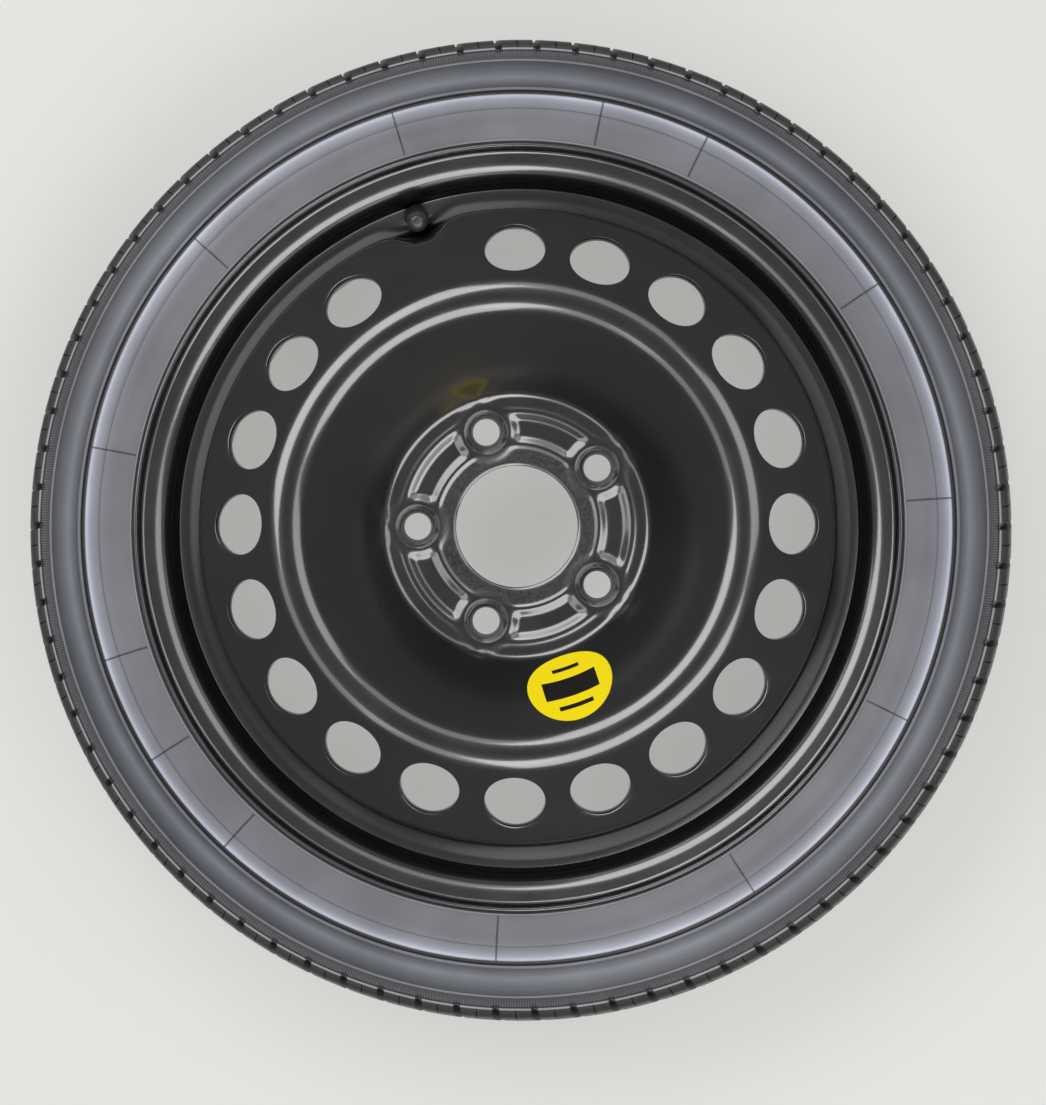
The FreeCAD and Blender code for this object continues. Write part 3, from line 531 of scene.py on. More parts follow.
def make_tyre():
    """The tyre: one pitch of its outline with a slot and a sipe, repeated round the wheel."""
    shoulder = rounded([WALL_CORNERS[-2][:2] + (None,), (*SHOULDER, SHOULDER_ROUND),
                        (tread_radius(ARC_HALF_WIDTH), ARC_HALF_WIDTH, None)])[1:-1]
    radius, level, _ = BEAD_CORNERS[0]
    bead = rounded([(radius, -level, None)] + BEAD_CORNERS, BEAD_ARC_STEP)[1:]
    half = bead[:-1] + wall_points() + shoulder + tread_points()
    outline = half + [Vector((p.x, -p.y)) for p in reversed(half)]
    tyre = trace("tyre_rubber", outline, closed=True)

    # One pitch of the tread: columns at the walls of the slot and at the fine sipe between two slots
    pitch = FULL_TURN / SLOT_COUNT
    slot_edge = SLOT_HALF_WIDTH / SHOULDER[0]
    slot_foot = (SLOT_HALF_WIDTH - SLOT_WALL_LEAN) / SHOULDER[0]
    sipe = SIPE_HALF_WIDTH / SHOULDER[0]
    sipe_middle = slot_foot + pitch / 2
    columns = [0, slot_foot * 2, slot_foot + slot_edge, sipe_middle - sipe, sipe_middle,
               sipe_middle + sipe, pitch - slot_edge + slot_foot, pitch]
    for before, after in zip(columns, columns[1:]):
        spin(1, after - before)
    slot_columns = (columns[0], columns[1], columns[-1])
    mesh = bmesh.from_edit_mesh(tyre.data)
    # Points cut below the surface, in the slots and sipes, are marked for painted shade
    painted_shade = mesh.verts.layers.float.new("painted_shade")
    for vertex in mesh.verts:
        angle = abs(math.atan2(vertex.co.y, vertex.co.x))
        radius = math.hypot(vertex.co.x, vertex.co.y) / MM
        level = abs(vertex.co.z / MM)
        wanted = radius
        in_slot = min(abs(angle - column) for column in slot_columns) < SAME_ANGLE
        if in_slot and SLOT_END[1] < level and radius > SLOT_FOOT[0] - SLOT_RUN_OUT:
            wanted = min(radius, slot_floor(level))
        on_sipe = abs(angle - sipe_middle) < SAME_ANGLE and radius > SLOT_FOOT[0]
        if on_sipe and any(low < level < high for low, high in (SHOULDER_SIPE, RIB_SIPE)):
            wanted = radius - SIPE_DEPTH
        vertex[painted_shade] = 1.0 if wanted < radius else 0.0
        vertex.co.xy *= wanted / radius
        down = min(max(SLOT_FOOT[1] - level, 0), SLOT_FOOT[1] - SLOT_END[1])
        lean = math.radians(BLOCK_LEAN) * down
        vertex.co = Matrix.Rotation(lean, 3, "Z") @ vertex.co
    bmesh.update_edit_mesh(tyre.data)
    bpy.ops.mesh.select_all(action="SELECT")
    spin(SLOT_COUNT - 1, FULL_TURN - pitch, copies=True)
    weld()
    bpy.ops.transform.translate(value=(0, 0, -RIM_OFFSET * MM))
    bpy.ops.object.mode_set(mode="OBJECT")
    join(tyre, panel_lines())
    smooth(tyre, TYRE_SMOOTH_ANGLE)
    return tyre


def panel_lines():
    """Thin lines that run out across the sidewall, darkened with painted shade, a copy for each, to be joined
    to the tyre.
    """
    low, high = PANEL_LINE_REACH
    run = [Vector((p.x, p.y - RIM_OFFSET)) for p in wall_points() if low < p.x < high]
    line = trace("panel_line", run)
    bpy.ops.transform.translate(value=(0, -PANEL_LINE_WIDTH / 2 * MM, 0))
    bpy.ops.mesh.extrude_edges_move()
    bpy.ops.transform.translate(value=(0, PANEL_LINE_WIDTH * MM, 0))
    bpy.ops.object.mode_set(mode="OBJECT")
    apply_modifier(line, "SOLIDIFY", thickness=2 * PANEL_LINE_RISE * MM, offset=0)
    # Every point of the line is marked for painted shade
    painted_shade = line.data.attributes.new("painted_shade", "FLOAT", "POINT")
    for point in painted_shade.data:
        point.value = 1.0
    made = []
    for angle in PANEL_LINES:
        copy = line.copy()
        copy.data = line.data.copy()
        bpy.context.scene.collection.objects.link(copy)
        put(copy, (0, 0, 0), Matrix.Rotation(math.radians(angle), 3, "Z"))
        made.append(copy)
    bpy.data.objects.remove(line)
    return made


# Rim

def valve_frame():
    """Turn and place of the valve: local Z along its axis, origin on the rim's street face."""
    radius, height = VALVE_FOOT
    away = outwards(VALVE_ANGLE)
    axis = Vector((0, 0, 1)) * math.cos(VALVE_TILT) - away * math.sin(VALVE_TILT)
    turn = axis.to_track_quat("Z", "Y").to_matrix()
    return (away * radius + Vector((0, 0, height))) * MM, turn


def make_rim():
    """The rim: a turned profile given the sheet's thickness, with round lips and the valve's hole."""
    points = [Vector((p.x, p.y - RIM_OFFSET)) for p in rounded(RIM_CORNERS)]
    rim = lathe("rim_steel", points, RIM_STEPS, closed=False)
    apply_modifier(rim, "SOLIDIFY", thickness=RIM_SHEET * MM, offset=-1, use_even_offset=True)
    apply_modifier(rim, "BEVEL", width=RIM_LIP_ROUND * MM, segments=RIM_LIP_STEPS,
                   limit_method="ANGLE", angle_limit=BEVEL_ANGLE)
    hole = start_mesh("hole_cutter", bpy.ops.mesh.primitive_cylinder_add,
                      vertices=BORE_STEPS, radius=RIM_HOLE_RADIUS * MM, depth=RIM_HOLE_DEPTH * MM)
    bpy.ops.object.mode_set(mode="OBJECT")
    place, turn = valve_frame()
    put(hole, place, turn)
    cut(rim, hole)
    smooth(rim)
    return rim


# Disc

def vent_ring_height(radius):
    """Height of the sloping ring outside the crown."""
    return CROWN[1] - (radius - CROWN[0]) * math.tan(RING_SLOPE)


def wrap_cell(piece, middle):
    """Wraps a flat cell round the sloping vent ring: X is length round it, Y is distance down it."""
    mesh = bmesh.from_edit_mesh(piece.data)
    for vertex in mesh.verts:
        radius = VENT_CIRCLE * MM + vertex.co.y * math.cos(RING_SLOPE)
        angle = middle + vertex.co.x / radius
        height = vent_ring_height(radius / MM) * MM
        vertex.co = (radius * math.cos(angle), radius * math.sin(angle), height)
    bmesh.update_edit_mesh(piece.data)


def cell_grid(name):
    """A flat grid over one eighteen-degree cell of the vent ring, wider towards the outside."""
    low = (CELL_INNER - VENT_CIRCLE) / math.cos(RING_SLOPE) * MM
    high = (CELL_OUTER - VENT_CIRCLE) / math.cos(RING_SLOPE) * MM
    piece = start_mesh(name, bpy.ops.mesh.primitive_grid_add,
                       x_subdivisions=CELL_SIDE, y_subdivisions=CELL_SIDE, size=1)
    half_angle = math.pi / VENT_POSITIONS
    mesh = bmesh.from_edit_mesh(piece.data)
    for vertex in mesh.verts:
        down = low + (vertex.co.y + 0.5) * (high - low)
        radius = VENT_CIRCLE * MM + down * math.cos(RING_SLOPE)
        vertex.co = (vertex.co.x * 2 * half_angle * radius, down, 0)
    bmesh.update_edit_mesh(piece.data)
    return piece


def vent_cells():
    """Nineteen cells with a vent and a plain one at the valve, as one ring of the disc."""
    cell = cell_grid("disc_steel")
    mesh = bmesh.from_edit_mesh(cell.data)
    for vertex in mesh.verts:
        vertex.select = not vertex.is_boundary
    mesh.select_flush(False)
    bpy.ops.mesh.delete(type="VERT")
    bpy.ops.mesh.select_all(action="DESELECT")
    bpy.ops.mesh.primitive_circle_add(vertices=CELL_SIDE * 4, radius=VENT_RADIUS * MM)
    bpy.ops.mesh.select_all(action="SELECT")
    bpy.ops.mesh.bridge_edge_loops(number_cuts=CELL_CUTS, interpolation="LINEAR")
    step = FULL_TURN / VENT_POSITIONS
    wrap_cell(cell, VALVE_ANGLE - step)
    bpy.ops.mesh.select_all(action="SELECT")
    spin(VENT_POSITIONS - 2, step * (VENT_POSITIONS - 2), copies=True)
    bpy.ops.object.mode_set(mode="OBJECT")
    plain = cell_grid("plain_cell")
    wrap_cell(plain, VALVE_ANGLE)
    bpy.ops.object.mode_set(mode="OBJECT")
    join(cell, [plain])
    bpy.ops.object.mode_set(mode="EDIT")
    weld()
    return cell


def select_ring(piece, radius):
    """Selects the open edges of the mesh that lie at a radius."""
    bpy.ops.mesh.select_mode(type="EDGE")
    bpy.ops.mesh.select_all(action="DESELECT")
    mesh = bmesh.from_edit_mesh(piece.data)
    for edge in mesh.edges:
        off = max(abs(vertex.co.xy.length / MM - radius) for vertex in edge.verts)
        if edge.is_boundary and off < RING_TOLERANCE:
            edge.select = True
    mesh.select_flush(True)
    bmesh.update_edit_mesh(piece.data)


def extend(points):
    """Extrudes the selected ring of edges from point to point of a (radius, height) profile."""
    for before, after in zip(points, points[1:]):
        bpy.ops.mesh.extrude_edges_move()
        ratio = after[0] / before[0]
        bpy.ops.transform.resize(value=(ratio, ratio, 1), center_override=(0, 0, 0))
        bpy.ops.transform.translate(value=(0, 0, (after[1] - before[1]) * MM))


def stepped(points, step):
    """The same profile with its long runs divided, so that no step is longer than given."""
    made = [points[0]]
    for before, after in zip(points, points[1:]):
        count = max(1, math.ceil((after - before).length / step))
        made += [before.lerp(after, number / count) for number in range(1, count + 1)]
    return made


def pad_rise(radius, angle):
    """Height of the pad's pressings: ring, valleys and band, then the moat and dart at each bolt."""
    step = VALLEY_DEPTH + BAND_HEIGHT
    level = step * (blend(*BAND_INNER, radius) - blend(*BAND_OUTER, radius))
    level -= VALLEY_DEPTH * (blend(*INNER_VALLEY, radius) - blend(*OUTER_VALLEY, radius))
    level -= BORE_EDGE_DROP * (1 - blend(*BORE_EDGE, radius))
    off = math.remainder(angle - BOLT_FIRST, FULL_TURN / BOLT_COUNT)
    away = math.hypot(radius * math.cos(off) - BOLT_CIRCLE, radius * math.sin(off))
    moat = 1 - blend(*MOAT_EDGE, away)
    half_dart = (radius - DART_FOOT[0]) * DART_SPREAD
    soft_edge = DART_EDGE + max(0.0, radius - DART_FOOT[0]) * DART_SOFTENING
    dart = 1 - blend(half_dart - soft_edge, half_dart + soft_edge, abs(off) * radius)
    dart *= blend(*DART_FOOT, radius) * (1 - blend(*DART_FADE, radius)) * DART_DEPTH
    return level * (1 - moat) - VALLEY_DEPTH * moat - dart


def flute_shift(point):
    """How far a point of the sheet is pressed in by the flute round the valve, and which way."""
    place, turn = valve_frame()
    across = outwards(VALVE_ANGLE) * math.cos(VALVE_TILT) + Vector((0, 0, 1)) * math.sin(VALVE_TILT)
    axis = turn.col[2]
    side = axis.cross(across)
    offset = (point - place) / MM
    depth = offset.dot(across) - (FLUTE_RADIUS - FLUTE_CLEARANCE)
    sideways = offset.dot(side)
    along = offset.dot(axis)
    if depth > 0 or abs(sideways) > FLUTE_RADIUS * FLUTE_SIDE_LIMIT:
        return Vector((0, 0, 0))
    distance = math.hypot(depth, sideways)
    spread = math.sqrt((distance - FLUTE_RADIUS) ** 2 + FLUTE_SOFTNESS ** 2)
    wanted = (distance + FLUTE_RADIUS + spread) / 2
    if wanted <= abs(sideways):
        return Vector((0, 0, 0))
    push = math.sqrt(wanted ** 2 - sideways ** 2) + depth
    near, far = (FLUTE_RADIUS * share for share in FLUTE_FADE_OUT)
    fade = blend(*FLUTE_FADE_IN, along) * (1 - blend(near, far, abs(sideways)))
    return across * (-max(0.0, push) * fade * MM)


def make_disc():
    """The disc: the vent ring run on inwards and outwards, pressed, given its thickness and drilled."""
    disc = vent_cells()
    chain = rounded([(BORE_RADIUS, DISC_SHEET, None), PAD_EDGE, CROWN,
                     (CELL_INNER, vent_ring_height(CELL_INNER), None)], BOWL_ARC_STEP)
    pad_end = DART_FOOT[1] + ZONE_REACH
    dart_end = DART_FADE[1] + ZONE_REACH
    pad = [p for p in stepped(chain, PAD_STEP) if p.x <= pad_end]
    dart = [p for p in stepped(chain, DART_STEP) if pad_end + DART_ZONE_GAP < p.x <= dart_end]
    bowl = [p for p in stepped(chain, BOWL_STEP) if p.x > dart_end + BOWL_ZONE_GAP]
    select_ring(disc, CELL_INNER)
    extend(list(reversed(pad + dart + bowl)))
    outer = rounded([(CELL_OUTER, vent_ring_height(CELL_OUTER), None), DISC_EDGE,
                     (DISC_RADIUS, DISC_FLANGE_END, None)], FLANGE_ARC_STEP)
    select_ring(disc, CELL_OUTER)
    extend(stepped(outer, FLANGE_STEP))
    mesh = bmesh.from_edit_mesh(disc.data)
    for vertex in mesh.verts:
        radius = vertex.co.xy.length / MM
        if radius < DART_FADE[1]:
            vertex.co.z += pad_rise(radius, math.atan2(vertex.co.y, vertex.co.x)) * MM
        elif radius > FLUTE_INNER_RADIUS:
            vertex.co += flute_shift(vertex.co)
    bmesh.update_edit_mesh(disc.data)
    weld()
    bpy.ops.object.mode_set(mode="OBJECT")
    if sum(face.normal.z for face in disc.data.polygons) < 0:
        disc.data.flip_normals()
    apply_modifier(disc, "SOLIDIFY", thickness=DISC_SHEET * MM, offset=-1, use_even_offset=True)
    apply_modifier(disc, "BEVEL", width=SHEET_EDGE_ROUND * MM, segments=SHEET_EDGE_STEPS,
                   limit_method="ANGLE", angle_limit=BEVEL_ANGLE)
    cut(disc, bolt_drills())
    join(disc, bolt_collars())
    smooth(disc)
    return disc


def bolt_drills():
    """Five plain drills, which leave room for the collars."""
    low, high = DRILL_LEVELS
    outline = [Vector(p) for p in ((0, low), (DRILL_RADIUS, low), (DRILL_RADIUS, high), (0, high))]
    drill = lathe("bolt_drill", outline, BORE_STEPS, closed=False)
    put(drill, outwards(BOLT_FIRST) * BOLT_CIRCLE * MM, Matrix.Identity(3))
    bpy.ops.object.mode_set(mode="EDIT")
    bpy.ops.mesh.select_all(action="SELECT")
    pitch = FULL_TURN / BOLT_COUNT
    spin(BOLT_COUNT - 1, pitch * (BOLT_COUNT - 1), copies=True)
    bpy.ops.object.mode_set(mode="OBJECT")
    return drill


def bolt_collars():
    """Five rings with a coned seat, a rounded top and a steep flank that ends in the moat."""
    top = DISC_SHEET + COLLAR_HEIGHT
    seat_depth = (BOLT_SEAT_RADIUS - BOLT_HOLE_RADIUS) / math.tan(BOLT_SEAT_CONE)
    floor = DISC_SHEET - VALLEY_DEPTH
    outline = rounded([
        (BOLT_HOLE_RADIUS, COLLAR_FOOT, None), (BOLT_HOLE_RADIUS, top - seat_depth, SEAT_ROUND),
        (BOLT_SEAT_RADIUS, top, COLLAR_TOP_ROUND), (COLLAR_TOP_RADIUS, top, COLLAR_TOP_ROUND),
        (COLLAR_RADIUS, floor, None), (COLLAR_RADIUS, COLLAR_FOOT, None)])
    made = []
    for number in range(BOLT_COUNT):
        angle = BOLT_FIRST + FULL_TURN * number / BOLT_COUNT
        collar = lathe("bolt_collar", outline, BORE_STEPS)
        put(collar, outwards(angle) * BOLT_CIRCLE * MM, Matrix.Identity(3))
        made.append(collar)
    return made


# Valve pieces, drawn along the valve's own axis

def set_on_valve(piece):
    """Moves a piece from its own axis to the valve's."""
    put(piece, *valve_frame())
    smooth(piece)
    return piece


def make_cap():
    """The cap: a ribbed skirt, a step and a domed top, hollow for the thread."""
    outline = stepped(rounded(CAP_CORNERS), CAP_PROFILE_STEP)
    columns = CAP_RIBS * CAP_RIB_COLUMNS
    cap = lathe("valve_cap_plastic", outline, columns, closed=False)
    for vertex in cap.data.vertices:
        radius = vertex.co.xy.length / MM
        column = round(math.atan2(vertex.co.y, vertex.co.x) / FULL_TURN * columns)
        in_groove = column % CAP_RIB_COLUMNS in (0, 1)
        low_down = vertex.co.z / MM < CAP_STEP - CAP_RIB_END
        if radius > CAP_RADIUS - CAP_SKIN and low_down and in_groove:
            vertex.co.xy *= 1 - CAP_RIB_DEPTH / radius
    return set_on_valve(cap)


def make_insert():
    """The brass tube with its thread, a ridge wound round it."""
    outline = [Vector(p) for p in (
        (INSERT_BORE, INSERT_FOOT), (INSERT_RADIUS, INSERT_FOOT), (INSERT_RADIUS, THREAD_FOOT),
        (THREAD_ROOT, THREAD_FOOT + THREAD_RUN_IN), (THREAD_ROOT, THREAD_END - THREAD_BEVEL),
        (THREAD_ROOT - THREAD_BEVEL, THREAD_END), (CORE_WALL, THREAD_END), (CORE_WALL, CORE_LEDGE),
        (INSERT_BORE, CORE_LEDGE))]
    insert = lathe("valve_insert_brass", outline, BORE_STEPS)
    root = THREAD_ROOT - RIDGE_SINK
    start = THREAD_FOOT + RIDGE_START
    tip_low, tip_high = RIDGE_TIP
    tooth = [Vector((root, start)), Vector((THREAD_RADIUS, start + THREAD_PITCH * tip_low)),
             Vector((THREAD_RADIUS, start + THREAD_PITCH * tip_high)),
             Vector((root, start + THREAD_PITCH * RIDGE_FAR_FOOT))]
    ridge = trace("thread_ridge", tooth, closed=True)
    bpy.ops.object.mode_set(mode="OBJECT")
    turns = int((THREAD_END - THREAD_FOOT - THREAD_PLAIN_ENDS) / THREAD_PITCH)
    apply_modifier(ridge, "SCREW", screw_offset=THREAD_PITCH * MM, iterations=turns,
                   steps=THREAD_STEPS, render_steps=THREAD_STEPS, use_normal_calculate=True)
    join(insert, [ridge])
    return set_on_valve(insert)


def make_stem():
    """The snap-in rubber stem: a flange on the rim, a tapered body and the bulb inside."""
    return set_on_valve(lathe("valve_stem_rubber", rounded(STEM_CORNERS), STEM_STEPS))


# Label

def make_label():
    """A round sticker wrapped on the wall of the bowl; its UV map keeps its flat shape."""
    label = start_mesh("speed_label_vinyl", bpy.ops.mesh.primitive_circle_add,
                       vertices=LABEL_STEPS, radius=LABEL_RADIUS * MM)
    bpy.ops.mesh.fill_grid(span=LABEL_STEPS // 4)
    bpy.ops.object.mode_set(mode="OBJECT")
    layer = label.data.uv_layers.new(name="flat")
    for loop in label.data.loops:
        flat = label.data.vertices[loop.vertex_index].co.xy
        layer.data[loop.index].uv = flat / (2 * LABEL_RADIUS * MM)
    lean = math.atan2(CROWN[1] - DISC_SHEET, CROWN[0] - PAD_RADIUS)
    for vertex in label.data.vertices:
        radius = LABEL_CIRCLE * MM + vertex.co.y * math.cos(lean)
        height = DISC_SHEET * MM + (radius - PAD_RADIUS * MM) * math.tan(lean)
        angle = LABEL_ANGLE + vertex.co.x / radius
        radius -= LABEL_GAP * MM * math.sin(lean)
        height += LABEL_GAP * MM * math.cos(lean)
        vertex.co = (radius * math.cos(angle), radius * math.sin(angle), height)
    label.data.update()
    if sum(face.normal.z for face in label.data.polygons) < 0:
        label.data.flip_normals()
    apply_modifier(label, "SOLIDIFY", thickness=LABEL_THICKNESS * MM, offset=1)
    smooth(label)
    return label


# Materials

def linear(code):
    """An sRGB hex colour as the linear colour that the shaders use."""
    channels = [int(code[index:index + 2], 16) / 255 for index in (1, 3, 5)]
    return (*[c / 12.92 if c <= 0.04045 else ((c + 0.055) / 1.055) ** 2.4 for c in channels], 1)


def add_node(tree, kind, inputs, **properties):
    """Adds a shader node, sets its properties, and sets or links its inputs by name or number."""
    node = tree.nodes.new(f"ShaderNode{kind}")
    for name, value in properties.items():
        setattr(node, name, value)
    for key, value in inputs.items():
        if isinstance(value, bpy.types.NodeSocket):
            tree.links.new(value, node.inputs[key])
        else:
            node.inputs[key].default_value = value
    return node


def new_tree(owner):
    """The emptied node tree of a material or world."""
    owner.use_nodes = True
    owner.node_tree.nodes.clear()
    return owner.node_tree


def grain(tree, size_mm, height_mm):
    """A bump of soft grains of a given size and height."""
    place = add_node(tree, "TexCoord", {})
    noise = add_node(tree, "TexNoise", {"Vector": place.outputs["Object"], "Scale": 1 / (size_mm * MM),
                                        "Detail": 2.0})
    return add_node(tree, "Bump", {"Height": noise.outputs[0], "Distance": height_mm * MM})


def radius_from_axis(tree, place):
    """Distance of a point from the wheel's axis."""
    flat = add_node(tree, "VectorMath", {0: place, 1: (1, 1, 0)}, operation="MULTIPLY")
    return add_node(tree, "VectorMath", {0: flat.outputs[0]}, operation="LENGTH").outputs["Value"]


def plain_material(name, colour, roughness, grain_mm, grain_height_mm, metallic=0.0):
    """A material of one colour with a fine grain."""
    material = bpy.data.materials.new(name)
    tree = new_tree(material)
    bump = grain(tree, grain_mm, grain_height_mm)
    shader = add_node(tree, "BsdfPrincipled", {
        "Base Color": linear(colour), "Roughness": roughness, "Metallic": metallic,
        "Normal": bump.outputs[0]})
    add_node(tree, "OutputMaterial", {"Surface": shader.outputs[0]})
    return material


def paint_material():
    """Gloss black paint over pressed steel: nearly black under a clear coat, with soft-edged reflections
    and a faint orange peel, rubbed grey in fine marks on the ring round the bore."""
    material = bpy.data.materials.new("gloss black paint")
    tree = new_tree(material)
    place = add_node(tree, "TexCoord", {}).outputs["Object"]
    radius = radius_from_axis(tree, place)
    middle, half_width = SCUFF_RING
    in_ring = add_node(tree, "Math", {0: radius, 1: middle * MM, 2: half_width * MM}, operation="COMPARE")
    marks = add_node(tree, "TexNoise", {"Vector": place, "Scale": 1 / (SCUFF_SIZE * MM), "Detail": 6.0})
    rubbed = add_node(tree, "MapRange", {"Value": marks.outputs[0], "From Min": 0.35, "From Max": 0.7})
    share = add_node(tree, "Math", {0: in_ring.outputs[0], 1: rubbed.outputs[0]}, operation="MULTIPLY")
    colour = add_node(tree, "MixRGB", {"Fac": share.outputs[0], "Color1": linear("#0c0b0b"),
                                       "Color2": linear("#38373b")})
    haze = add_node(tree, "TexNoise", {"Vector": place, "Scale": 1 / (PAINT_HAZE_SIZE * MM), "Detail": 5.0})
    gloss = add_node(tree, "MapRange", {"Value": haze.outputs[0], "From Min": 0.3, "From Max": 0.7,
                                        "To Min": 0.26, "To Max": 0.34})
    shader = add_node(tree, "BsdfPrincipled", {
        "Base Color": colour.outputs[0], "Roughness": gloss.outputs[0], "IOR": 1.6,
        "Coat Weight": 1.0, "Coat Roughness": 0.12, "Coat IOR": 1.8,
        "Normal": grain(tree, *PAINT_PEEL).outputs[0]})
    add_node(tree, "OutputMaterial", {"Surface": shader.outputs[0]})
    return material


def rubber_material():
    """Moulded tyre rubber in rings of colour, greyer on the inner panels and darker towards the tread, with
    painted highlights on the rings and painted shade in the grooves and over the tread;
    darkest in the cuts that the attribute marks for painted shade, with cloudy handling marks, a fine grain
    and a knurled ring striped with painted light and shade."""
    material = bpy.data.materials.new("moulded rubber")
    tree = new_tree(material)
    place = add_node(tree, "TexCoord", {}).outputs["Object"]
    radius = radius_from_axis(tree, place)
    # Rings of colour by radius, most of them painted highlights and painted shade
    zone = add_node(tree, "MapRange", {"Value": radius, "From Min": RUBBER_TONES_AND_PAINTED_LIGHT[0][0] * MM,
                                       "From Max": RUBBER_TONES_AND_PAINTED_LIGHT[-1][0] * MM})
    tone_and_painted_light = add_node(tree, "ValToRGB", {"Fac": zone.outputs[0]})
    span = RUBBER_TONES_AND_PAINTED_LIGHT[-1][0] - RUBBER_TONES_AND_PAINTED_LIGHT[0][0]
    ends = tone_and_painted_light.color_ramp.elements
    ends[0].color = linear(RUBBER_TONES_AND_PAINTED_LIGHT[0][1])
    ends[1].color = linear(RUBBER_TONES_AND_PAINTED_LIGHT[-1][1])
    for edge, colour in RUBBER_TONES_AND_PAINTED_LIGHT[1:-1]:
        ends.new((edge - RUBBER_TONES_AND_PAINTED_LIGHT[0][0]) / span).color = linear(colour)
    cloud = add_node(tree, "TexNoise", {"Vector": place, "Scale": 1 / (RUBBER_CLOUD_SIZE * MM),
                                        "Detail": 4.0})
    mottle = add_node(tree, "MapRange", {"Value": cloud.outputs[0], "From Min": 0.3, "From Max": 0.7,
                                         "To Min": 0.86, "To Max": 1.1})
    parts = add_node(tree, "SeparateXYZ", {0: place})
    angle = add_node(tree, "Math", {0: parts.outputs["Y"], 1: parts.outputs["X"]}, operation="ARCTAN2")
    turns = add_node(tree, "Math", {0: angle.outputs[0], 1: float(KNURL_COUNT)}, operation="MULTIPLY")
    wave = add_node(tree, "Math", {0: turns.outputs[0]}, operation="SINE")
    inner, outer = KNURL_RING
    in_ring = add_node(tree, "Math", {0: radius, 1: (inner + outer) / 2 * MM,
                                      2: (outer - inner) / 2 * MM}, operation="COMPARE")
    knurl = add_node(tree, "Math", {0: wave.outputs[0], 1: in_ring.outputs[0]}, operation="MULTIPLY")
    # Painted shade in the marked cuts and lines darkens the colour
    painted_shade = add_node(tree, "Attribute", {}, attribute_name="painted_shade").outputs["Fac"]
    lit = add_node(tree, "Math", {0: painted_shade, 1: -PAINTED_SHADE_DEPTH, 2: 1.0}, operation="MULTIPLY_ADD")
    # Stripes of painted light and shade along the knurl's ridges, added to the painted shade in the cuts
    painted_light_and_shade = add_node(tree, "Math", {0: knurl.outputs[0], 1: KNURL_PAINTED_LIGHT_CONTRAST, 2: lit.outputs[0]},
                       operation="MULTIPLY_ADD")
    level = add_node(tree, "Math", {0: painted_light_and_shade.outputs[0], 1: mottle.outputs[0]}, operation="MULTIPLY")
    colour = add_node(tree, "VectorMath", {0: tone_and_painted_light.outputs[0], 1: level.outputs[0]}, operation="MULTIPLY")
    ridges = add_node(tree, "Bump", {"Height": knurl.outputs[0], "Distance": KNURL_HEIGHT * MM})
    grain_size, grain_height = RUBBER_GRAIN
    noise = add_node(tree, "TexNoise", {"Vector": place, "Scale": 1 / (grain_size * MM), "Detail": 3.0})
    skin = add_node(tree, "Bump", {"Height": noise.outputs[0], "Distance": grain_height * MM,
                                   "Normal": ridges.outputs[0]})
    shader = add_node(tree, "BsdfPrincipled", {
        "Base Color": colour.outputs[0], "Roughness": 0.42, "Normal": skin.outputs[0]})
    add_node(tree, "OutputMaterial", {"Surface": shader.outputs[0]})
    return material


def label_material():
    """Yellow vinyl with plain black bars where the real label has its print."""
    material = bpy.data.materials.new("printed vinyl")
    tree = new_tree(material)
    flat = add_node(tree, "UVMap", {}, uv_map="flat")
    parts = add_node(tree, "SeparateXYZ", {0: flat.outputs[0]})
    ink = None
    scale = 1 / (2 * LABEL_RADIUS)
    for across, up, half_width, half_height in LABEL_BARS:
        wide = add_node(tree, "Math", {0: parts.outputs["X"], 1: across * scale, 2: half_width * scale},
                        operation="COMPARE")
        tall = add_node(tree, "Math", {0: parts.outputs["Y"], 1: up * scale, 2: half_height * scale},
                        operation="COMPARE")
        bar = add_node(tree, "Math", {0: wide.outputs[0], 1: tall.outputs[0]}, operation="MULTIPLY")
        if ink:
            bar = add_node(tree, "Math", {0: ink.outputs[0], 1: bar.outputs[0]}, operation="MAXIMUM")
        ink = bar
    colour = add_node(tree, "MixRGB", {"Fac": ink.outputs[0], "Color1": linear("#ffe600"),
                                       "Color2": linear("#15130f")})
    shader = add_node(tree, "BsdfPrincipled", {"Base Color": colour.outputs[0], "Roughness": 0.35})
    add_node(tree, "OutputMaterial", {"Surface": shader.outputs[0]})
    return material


SLOT_MATERIALS = {
    "tyre_rubber": rubber_material(),
    "black_paint": paint_material(),
    # Snap-in valve rubber: matt black
    "valve_rubber": plain_material("valve rubber", "#1c1c1d", roughness=0.6, grain_mm=0.5,
                                   grain_height_mm=0.02),
    # Turned brass: warm metal with a fine grain
    "valve_brass": plain_material("turned brass", "#b9975b", roughness=0.3, grain_mm=0.4,
                                  grain_height_mm=0.004, metallic=1.0),
    # Cap: dark grey satin plastic
    "cap_plastic": plain_material("cap plastic", "#37383c", roughness=0.26, grain_mm=0.5,
                                  grain_height_mm=0.004),
    "label_vinyl": label_material(),
}


def dress(piece, slot):
    """Gives a piece the material of its slot."""
    piece.data.materials.clear()
    piece.data.materials.append(SLOT_MATERIALS[slot])
    return piece


for part in frame["record"]["subparts"]:
    dress(frame["nodes"][part["node"]], part["material_slot"])

for maker, node, body, slot in (
        (make_tyre, "tyre", "wheel", "tyre_rubber"), (make_rim, "rim", "wheel", "black_paint"),
        (make_disc, "disc", "wheel", "black_paint"), (make_stem, "valve_stem", "wheel", "valve_rubber"),
        (make_insert, "valve_insert", "wheel", "valve_brass"), (make_cap, "valve_cap", "cap", "cap_plastic"),
        (make_label, "speed_label", "wheel", "label_vinyl")):
    piece = dress(maker(), slot)
    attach(piece, body)
    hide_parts(node)


# Stage: pale floor, soft light, camera at the photograph's angle

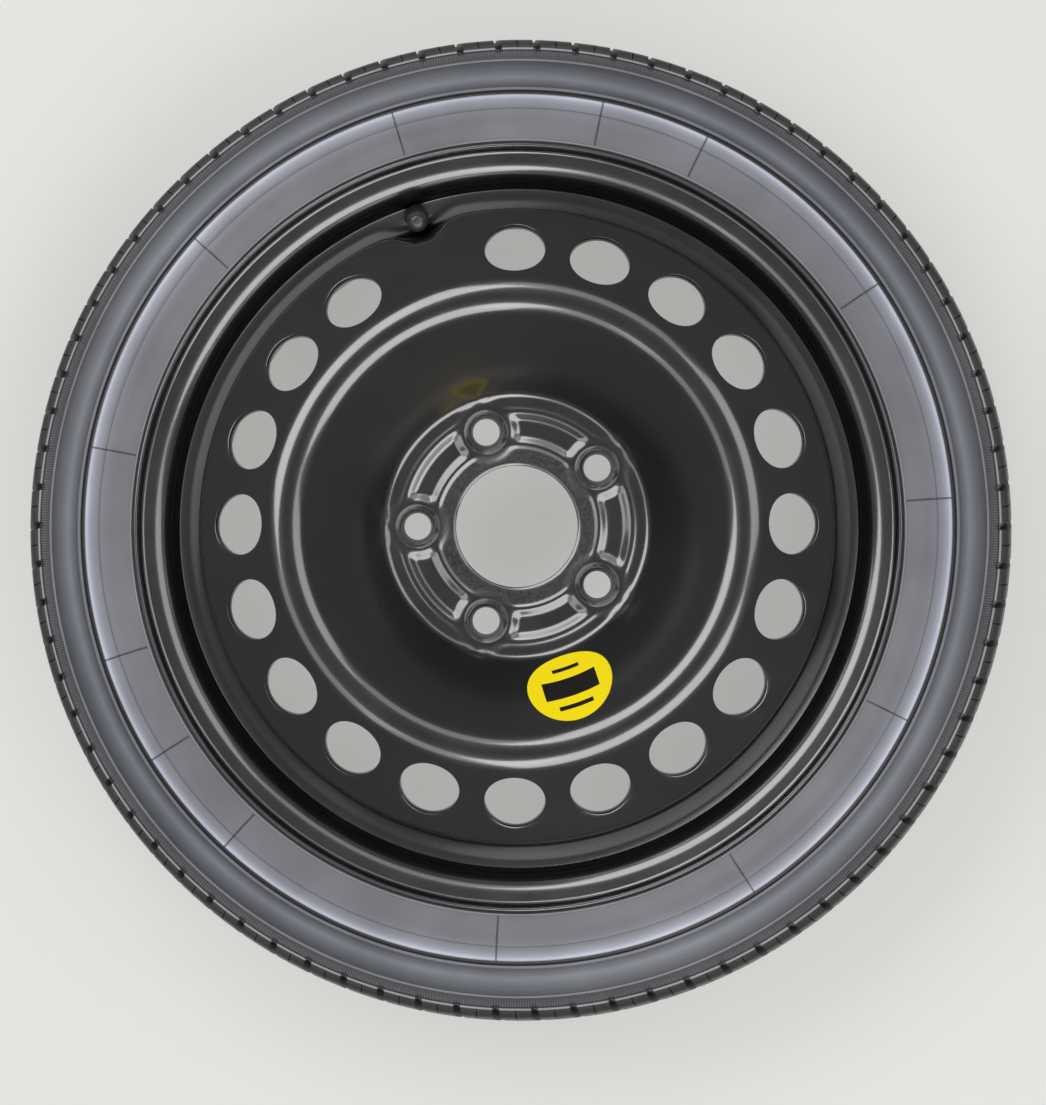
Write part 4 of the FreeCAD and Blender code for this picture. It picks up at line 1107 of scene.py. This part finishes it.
def make_floor():
    """A pale matt floor that keeps the wheel's shadow, softened by a glow that only what looks at it sees."""
    floor = start_mesh("floor", bpy.ops.mesh.primitive_plane_add, size=FLOOR_SIZE,
                       location=(0, 0, cad_low.z))
    bpy.ops.object.mode_set(mode="OBJECT")
    material = bpy.data.materials.new("pale floor")
    tree = new_tree(material)
    matt = add_node(tree, "BsdfPrincipled", {"Base Color": linear("#dadad7"), "Roughness": 0.8})
    lit = add_node(tree, "Emission", {"Color": linear("#e4e4e1"), "Strength": 1.0})
    ray = add_node(tree, "LightPath", {}).outputs
    clear = add_node(tree, "Math", {0: ray["Is Camera Ray"], 1: ray["Is Glossy Ray"]}, operation="MAXIMUM")
    clear = add_node(tree, "Math", {0: clear.outputs[0], 1: ray["Is Transmission Ray"]}, operation="MAXIMUM")
    share = add_node(tree, "Math", {0: clear.outputs[0], 1: FLOOR_GLOW}, operation="MULTIPLY")
    mixed = add_node(tree, "MixShader", {0: share.outputs[0], 1: matt.outputs[0], 2: lit.outputs[0]})
    add_node(tree, "OutputMaterial", {"Surface": mixed.outputs[0]})
    floor.data.materials.append(material)


def make_sky():
    """Even pale surroundings."""
    world = bpy.data.worlds.new("studio")
    bpy.context.scene.world = world
    tree = new_tree(world)
    light = add_node(tree, "Background", {"Color": linear("#f4f5f7"), "Strength": SKY_GLOW})
    add_node(tree, "OutputWorld", {"Surface": light.outputs[0]})


def make_lamps():
    """Six soft boxes in a circle above the wheel, for bright lines on the rounds of the paint."""
    for name, angle, width, depth, power in SOFT_BOXES:
        light = bpy.data.lights.new(name, "AREA")
        light.shape = "RECTANGLE"
        light.size = width
        light.size_y = depth
        light.energy = power
        lamp = bpy.data.objects.new(name, light)
        lamp.location = outwards(math.radians(angle)) * BOX_DISTANCE + Vector((0, 0, BOX_HEIGHT))
        lamp.rotation_euler = lamp.location.to_track_quat("Z", "Y").to_euler()
        bpy.context.scene.collection.objects.link(lamp)


def make_camera():
    """The camera at the photograph's place, with the top of the picture towards +Y."""
    camera = bpy.data.cameras.new("camera")
    camera.sensor_fit = "VERTICAL"
    camera.sensor_height = CAMERA_SENSOR
    camera.lens = CAMERA_LENS
    eye = bpy.data.objects.new("camera", camera)
    place = Vector(CAMERA_PLACE) * MM
    forward = (Vector(CAMERA_AIM) * MM - place).normalized()
    right = forward.cross(Vector((0, 1, 0))).normalized()
    eye.matrix_world = Matrix((right, right.cross(forward), -forward)).transposed().to_4x4()
    eye.location = place
    bpy.context.scene.collection.objects.link(eye)
    bpy.context.scene.camera = eye
    bpy.context.scene.view_settings.view_transform = "Standard"


make_floor()
make_sky()
make_lamps()
make_camera()
